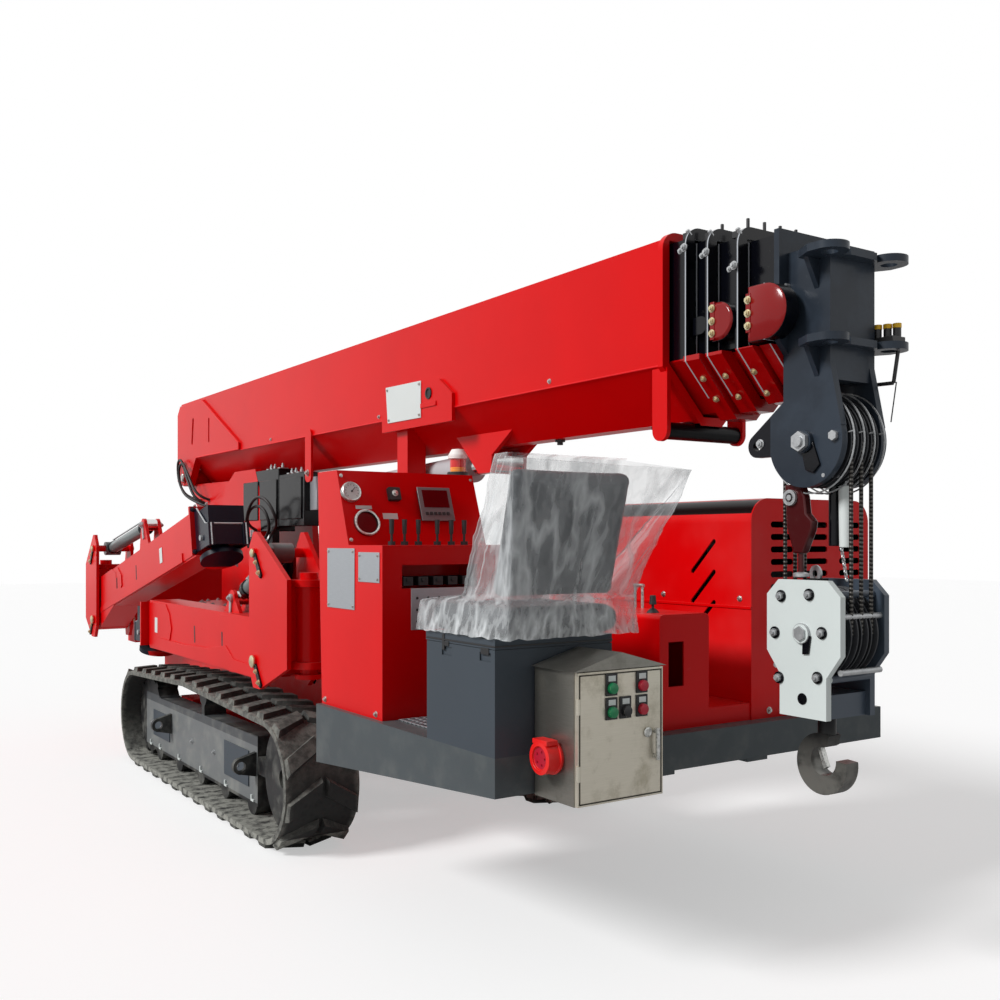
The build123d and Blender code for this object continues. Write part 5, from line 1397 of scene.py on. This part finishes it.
class CRANE_OT_hook(bpy.types.Operator):
    """Bolts, nuts and eye of the hook block, black discs and a plate painted as their shadows, a black disc
    painted as a hole's shade, and the hook's latch
    """

    bl_idname = "crane.hook"
    bl_label = "Hook fittings"

    def execute(self, context):
        dark, metal, latch = meshes(3)
        for out in (-1, 1):
            face = out * 110
            for x, z in ((2752, 1172), (2858, 1180), (2728, 1061), (2904, 1071), (2744, 926), (2888, 940)):
                # Black discs round the bolt heads: painted shadows of the bolts
                rod(dark, (x, face - out, z), (x, face + out * 4, z), 18, 20)
                rod(metal, (x, face + out * 3, z), (x, face + out * 13, z), 12, 6)
                rod(metal, (x, face + out * 12, z), (x, face + out * 20, z), 6, 10)
            rod(metal, (2832, face, 1065), (2832, face + out * 9, 1065), 30, 24)
            rod(metal, (2832, face + out * 8, 1065), (2832, face + out * 17, 1065), 22, 6)
            # A black plate down from the centre nut: its painted shadow
            keeper = ((2838, 1070), (2866, 1058), (2858, 1006), (2836, 1004))
            plate(dark, [(x, face, z) for x, z in keeper], (0, out * 6, 0))
            # A black disc: painted shade inside the plate's lower hole
            rod(dark, (2832, face, 872), (2832, face + out * 2, 872), 17, 24)
        for x, z in ((2712, 1120), (2952, 1118), (2712, 960), (2952, 958), (2832, 850)):
            rod(metal, (x, -90, z), (x, 90, z), 9, 12)
        lathe(metal, ((11, 0), (26, 0), (26, 7), (11, 7)), (2790, -4, 1238), (0.2, 1, 0), 20)
        block(dark, (2762, 2818), (-24, 24), (1204, 1224))
        plate(latch, [(2793, -9, 742), (2806, -9, 742), (2838, -9, 660), (2826, -9, 652)], (0, 18, 0))
        rod(latch, (2800, -16, 744), (2800, 16, 744), 6, 12)
        piece("block_bolts", dark, "hook", "black_paint")
        piece("block_metal", metal, "hook", "worn_steel")
        piece("hook_latch", latch, "hook", "zinc", bevel=1)
        return {"FINISHED"}


class CRANE_OT_turret(bpy.types.Operator):
    """Valve housing, fittings, ring bolts and pipes of the turret"""

    bl_idname = "crane.turret"
    bl_label = "Turret fittings"

    def execute(self, context):
        dark, metal, grey = meshes(3)
        block(dark, (-1600, -1010), (-189, -84), (1392, 1764))
        block(dark, (-1012, -640), (-186, -92), (1420, 1724))
        for x0, x1, front in ((-1580, -1330, -196), (-1300, -1030, -196), (-990, -670, -193)):
            block(dark, (x0, x1), (front, -184), (1460, 1700))
        for x in (-1220, -1160, -1040, -900, -840, -760):
            z = 1764 if x < -1010 else 1724
            rod(metal, (x, -150, z - 2), (x, -150, z + 22), 10, 6)
            rod(metal, (x, -150, z + 20), (x, -150, z + 34), 6, 10)
            block(metal, (x - 16, x + 16), (-176, -120), (z - 1, z + 7))
        block(grey, (-736, -546), (-152, -140), (1508, 1694))
        slew_x, ring, bolts = -1600, 440, 24
        for turn in range(bolts):
            angle = math.tau * turn / bolts
            x, y = slew_x + ring * math.cos(angle), ring * math.sin(angle)
            bolt(metal, (x, y, 940), (0, 0, 1), 13)
        for out in (-1, 1):
            wall = out * 190
            for x, z in (
                (-2560, 1580), (-2300, 1590), (-1900, 1380), (-1700, 1180), (-1450, 1020), (-1700, 1500),
            ):
                bolt(metal, (x, wall, z), (0, out, 0), 12)
        rod(metal, (-1010, -206, 1338), (-1330, -206, 1338), 10, 12)
        rod(metal, (-1010, -214, 1316), (-1330, -214, 1316), 10, 12)
        block(dark, (-1420, -1330), (-232, -188), (1290, 1360))
        block(dark, (-1060, -1000), (-230, -186), (1296, 1420))
        for x, z in ((-1394, 1392), (-1360, 1392), (-1030, 1300)):
            rod(metal, (x, -210, z - 40), (x, -210, z + 10), 9, 6)
        piece("valve_housing", dark, "turret", "black_gloss", bevel=4)
        piece("turret_metal", metal, "turret", "worn_steel")
        piece("turret_panel", grey, "turret", "plain_plate", bevel=2)
        return {"FINISHED"}


# Console: the sloped face runs along the crane's width, up the slope and out of it
SLOPE_MIDDLE = (1284, -556, 1463.5)


def slope_frame():
    place = Matrix.Identity(4)
    place.col[0][:3] = (0, 1, 0)
    place.col[1][:3] = (-0.3428, 0, 0.9394)
    place.col[2][:3] = (0.9394, 0, 0.3428)
    place.col[3][:3] = at(*SLOPE_MIDDLE)
    return place


class CRANE_OT_console(bpy.types.Operator):
    """Dial, sight glass, display, switch, blank plates and the slot's inside"""

    bl_idname = "crane.console"
    bl_label = "Console fittings"

    def execute(self, context):
        slope = slope_frame()
        bezel, dial, dark, glass, rim, pane, blank = meshes(7)
        lathe(bezel, ((36.5, 0), (40, 2), (40, 17), (37, 21), (33, 19), (33, 17)), (-264, 59, 0), (0, 0, 1), 40)
        rod(dial, (-264, 59, 16), (-264, 59, 17.5), 33, 32)
        for step in range(11):
            turn = math.radians(225 - step * 27)
            a = Vector((math.cos(turn), math.sin(turn), 0))
            middle = Vector((-264, 59, 17.4))
            rod(dark, middle + a * 24, middle + a * 29, 1.0, 6)
        rod(dark, (-264, 59, 18), (-248, 76, 18), 1.2, 6)
        rod(dark, (-264, 59, 17), (-264, 59, 20), 4, 12)
        lathe(bezel, ((43.5, 6), (52.5, 6), (52.5, 13), (49, 15), (44, 13)), (-216, -64, 0), (0, 0, 1), 48)
        rod(glass, (-216, -64, 0), (-216, -64, 5), 43, 40)
        block(dark, (-106, -56), (30, 80), (15, 19))
        lathe(bezel, ((0, 18), (13, 18), (13, 21), (8, 22), (8, 30), (0, 31)), (-81, 55, 0), (0, 0, 1), 20)
        block(rim, (20, 170), (-58, 84), (15.5, 20))
        block(pane, (38, 154), (-2, 72), (20, 21.5))
        for step in range(6):
            block(dark, (40 + step * 19, 52 + step * 19), (-34, -22), (20, 23))
        block(blank, (-250, -182), (-6, 8), (0.2, 1.2))
        block(blank, (-140, -76), (-46, -22), (0.2, 1.2))
        for u in (-290, 292):
            for v in (-130, 130):
                bolt(bezel, (u, v, 0), (0, 0, 1), 6)
        piece("gauge_bezels", bezel, "chassis", "zinc", place=slope)
        piece("gauge_dial", dial, "chassis", "white_paint", place=slope)
        piece("gauge_marks", dark, "chassis", "black_plastic", place=slope)
        piece("sight_glass", glass, "chassis", "wine_gloss", place=slope)
        piece("display_frame", rim, "chassis", "display_grey", bevel=2, place=slope)
        piece("display_screen", pane, "chassis", "wine_gloss", bevel=1, place=slope)
        piece("console_labels", blank, "chassis", "white_paint", place=slope)

        plates, screws, slot = meshes(3)
        for x0, x1, z0, z1 in ((1153, 1389, 1082, 1309), (1422, 1588, 1188, 1296)):
            block(plates, (x0, x1), (-863, -860), (z0, z1))
            for x in (x0 + 12, x1 - 12):
                for z in (z0 + 12, z1 - 12):
                    bolt(screws, (x, -863, z), (0, -1, 0), 5)
        block(plates, (1606.5, 1610), (-746, -475), (1018, 1167))
        for row in range(3):
            for column in range(6):
                y, z = -722 + column * 45, 1048 + row * 42
                rod(slot, (1610, y, z), (1613, y, z), 5, 10)
        for column in range(5):
            y = -750 + column * 62
            block(slot, (1500, 1596), (y - 20, y + 20), (1176, 1208))
            rod(slot, (1596, y, 1196), (1600, y, 1196), 8, 12)
        bolt(screws, (1560, -860, 722), (0, -1, 0), 9)
        bolt(screws, (1130, -860, 722), (0, -1, 0), 9)
        rod(screws, (1607, -300, 990), (1616, -300, 990), 16, 20)
        piece("console_plates", plates, "chassis", "plain_plate", bevel=0.8)
        piece("console_screws", screws, "chassis", "zinc")
        piece("console_slot_bits", slot, "chassis", "black_plastic", bevel=1)
        return {"FINISHED"}


class CRANE_OT_cabinet(bpy.types.Operator):
    """Button frames and caps, latch, seam and inlet flange of the switch cabinet"""

    bl_idname = "crane.cabinet"
    bl_label = "Cabinet fittings"

    def execute(self, context):
        frames, labels = meshes(2)
        caps = {"green_plastic": bmesh.new(), "crimson_plastic": bmesh.new(), "black_plastic": bmesh.new()}
        for y, z, colour in (
            (-626, 914, "green_plastic"), (-511, 914, "crimson_plastic"),
            (-626, 845, "green_plastic"), (-574, 845, "black_plastic"), (-511, 845, "crimson_plastic"),
        ):
            block(frames, (2575.5, 2581), (y - 21, y + 21), (z - 22, z + 42))
            block(labels, (2580.5, 2582), (y - 13, y + 13), (z + 20, z + 36))
            cap = ((0, 19), (11, 19), (15.5, 16), (16.5, 8), (16.5, 4))
            lathe(caps[colour], cap, (2576, y, z), (1, 0, 0), 28)
        for name, mesh in caps.items():
            piece("button_caps_" + name.split("_")[0], mesh, "cabinet_door", name)
        piece("button_frames", frames, "cabinet_door", "black_plastic", bevel=1.2)
        piece("button_labels", labels, "cabinet_door", "white_paint")
        latch, seam = meshes(2)
        lathe(latch, ((0, 0), (15, 0), (15, 5), (10, 7), (10, 5), (0, 5)), (2576, -488, 774), (1, 0, 0), 24)
        rod(latch, (2576, -461, 776), (2596, -461, 776), 7, 12)
        rod(latch, (2576, -461, 702), (2596, -461, 702), 7, 12)
        rod(latch, (2593, -461, 786), (2593, -461, 692), 7, 14)
        for y0, y1, z0, z1 in (
            (-742, -738, 590, 958), (-436, -432, 590, 958), (-742, -432, 954, 958), (-742, -432, 590, 594),
        ):
            block(seam, (2575.6, 2577), (y0, y1), (z0, z1))
        piece("door_latch", latch, "cabinet_door", "zinc", bevel=0.8)
        piece("door_seam", seam, "cabinet_door", "dark_trim")
        inlet, hub = meshes(2)
        hub_x, hub_z, ring, pins = 2465, 713, 20, 5
        flange = (
            (30, -2), (52, -2), (52, 4), (44, 6), (44, 34), (47, 36), (47, 44), (34, 46), (34, 40), (30, 38),
        )
        lathe(inlet, flange, (hub_x, -756, hub_z), (0, -1, 0), 40)
        block(inlet, (2430, 2500), (-800, -760), (752, 766))
        rod(hub, (hub_x, -790, hub_z), (hub_x, -796, hub_z), 32, 32)
        for turn in range(pins):
            angle = math.tau * turn / pins
            x, z = hub_x + ring * math.cos(angle), hub_z + ring * math.sin(angle)
            rod(hub, (x, -795, z), (x, -800, z), 3, 8)
        piece("inlet_flange", inlet, "chassis", "red_plastic", bevel=1)
        piece("inlet_pins", hub, "chassis", "crimson_plastic")
        return {"FINISHED"}


class CRANE_OT_covers(bpy.types.Operator):
    """Latches, rods and seam of the hood, the deck's grating and fittings, seat box trim and beacon base"""

    bl_idname = "crane.covers"
    bl_label = "Hood and deck fittings"

    def execute(self, context):
        dark, metal, strip, red = meshes(4)
        for x in (1380, 2040):
            lathe(dark, ((0, 0), (20, 0), (20, 7), (13, 9), (0, 9)), (x, 885, 1010), (0, 1, 0), 24)
            rod(metal, (x + 90, 885, 1240), (x + 90, 885, 1240), 7, 10)
        for x in (1300, 2100):
            rod(metal, (x - 45, 872, 1400), (x + 45, 872, 1400), 8, 12)
        for y in (330, 795):
            bolt(metal, (2305, y, 730), (1, 0, 0), 10)
            bolt(metal, (1100, y, 730), (-1, 0, 0), 10)
        for x in (1150, 1500, 1850, 2250):
            bolt(metal, (x, 884, 722), (0, 1, 0), 10)
            bolt(metal, (x, 240, 1130), (0, -1, 0), 9)
        block(red, (1100, 2305), (236, 240), (1094, 1104))
        rod(metal, (1937, 20, 1088), (1937, 20, 1172), 6, 12)
        rod(metal, (1977, 20, 1088), (1977, 20, 1172), 6, 12)
        rod(metal, (1931, 20, 1172), (1983, 20, 1172), 7, 12)
        rod(dark, (2190, -120, 1086), (2190, -120, 1120), 5, 10)
        rod(dark, (2190, -120, 1118), (2190, -120, 1150), 13, 16, 10)
        lathe(dark, ((24, 0), (18, 8), (10, 16), (5, 18)), (2190, -120, 1088), (0, 0, 1), 20)
        for row in range(13):
            rod(strip, (1625, -800 + row * 30, 706), (1950, -800 + row * 30, 706), 2.6, 6)
        for row in range(12):
            rod(strip, (1628 + row * 29, -806, 706), (1628 + row * 29, -434, 706), 2.6, 6)
        piece("cover_dark_bits", dark, "chassis", "black_plastic", bevel=1)
        piece("cover_metal", metal, "chassis", "zinc")
        piece("deck_grating", strip, "chassis", "plain_plate")
        piece("hood_seam", red, "chassis", "red_paint", bevel=1)
        seat = bmesh.new()
        block(seat, (1962, 2364), (-887, -443), (1026, 1031))
        for x0, x1, z0, z1 in ((2064, 2078, 996, 1046), (2078, 2104, 1010, 1024), (2288, 2332, 1002, 1022)):
            block(seat, (x0, x1), (-887.5, -884), (z0, z1))
        piece("seat_box_trim", seat, "chassis", "black_plastic", bevel=0.8)
        beacon = bmesh.new()
        low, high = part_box("beacon")
        x, y = (low[0] + high[0]) / 2 / MM, (low[1] + high[1]) / 2 / MM
        base = low[2] / MM
        lathe(beacon, ((40.5, -2), (44, 0), (44, 12), (40.5, 15)), (x, y, base), (0, 0, 1), 32)
        piece("beacon_base", beacon, "chassis", "black_plastic")
        return {"FINISHED"}


class CRANE_OT_tracks(bpy.types.Operator):
    """Bolts, plates and white angle clips of the track frames"""

    bl_idname = "crane.tracks"
    bl_label = "Track fittings"

    def execute(self, context):
        for side, out in (("right", -1), ("left", 1)):
            metal, dark, pale = meshes(3)
            face = 776
            for x in (118, -251, -636, -1015, -1380, -1564):
                angle = ((0, 112), (34, 112), (34, 122), (10, 122), (10, 142), (0, 142))
                plate(pale, [(x + along, out * face, z) for along, z in angle], (0, out * 8, 0))
            for x in (-1520, -1330, -780, -420, -60, 130):
                bolt(metal, (x, out * face, 250), (0, out, 0), 11)
            block(dark, (-1500, -1180), sorted((out * face, out * (face + 5))), (180, 330))
            block(dark, (-260, 80), sorted((out * face, out * (face + 5))), (170, 340))
            piece(f"{side}_frame_bolts", metal, "chassis", "worn_steel")
            piece(f"{side}_frame_clips", pale, "chassis", "white_paint", bevel=0.8)
            piece(f"{side}_frame_plates", dark, "chassis", "slate_paint", bevel=1.5)
        return {"FINISHED"}


OPERATORS = (
    CRANE_OT_stage, CRANE_OT_hoses, CRANE_OT_finishes, CRANE_OT_seat, CRANE_OT_outriggers, CRANE_OT_boom,
    CRANE_OT_head, CRANE_OT_hook, CRANE_OT_turret, CRANE_OT_console, CRANE_OT_cabinet, CRANE_OT_covers,
    CRANE_OT_tracks,
)


class CRANE_PT_panel(bpy.types.Panel):
    """Buttons for the crane's pieces"""

    bl_label = "Crawler crane"
    bl_space_type = "VIEW_3D"
    bl_region_type = "UI"
    bl_category = "Crane"

    def draw(self, context):
        layout = self.layout
        for group in (context.scene.crane_colours, context.scene.crane_sizes):
            for label in group.bl_rna.properties.keys():
                if label not in ("name", "rna_type"):
                    layout.prop(group, label)
        for operator in OPERATORS:
            layout.operator(operator.bl_idname)


CLASSES = (CraneColours, CraneSizes, *OPERATORS, CRANE_PT_panel)


def register():
    for kind in CLASSES:
        bpy.utils.register_class(kind)
    bpy.types.Scene.crane_colours = PointerProperty(type=CraneColours)
    bpy.types.Scene.crane_sizes = PointerProperty(type=CraneSizes)


def unregister():
    del bpy.types.Scene.crane_sizes
    del bpy.types.Scene.crane_colours
    for kind in reversed(CLASSES):
        bpy.utils.unregister_class(kind)


def main():
    register()
    for operator in OPERATORS:
        group, label = operator.bl_idname.split(".")
        getattr(getattr(bpy.ops, group), label)()


if __name__ == "__main__":
    main()
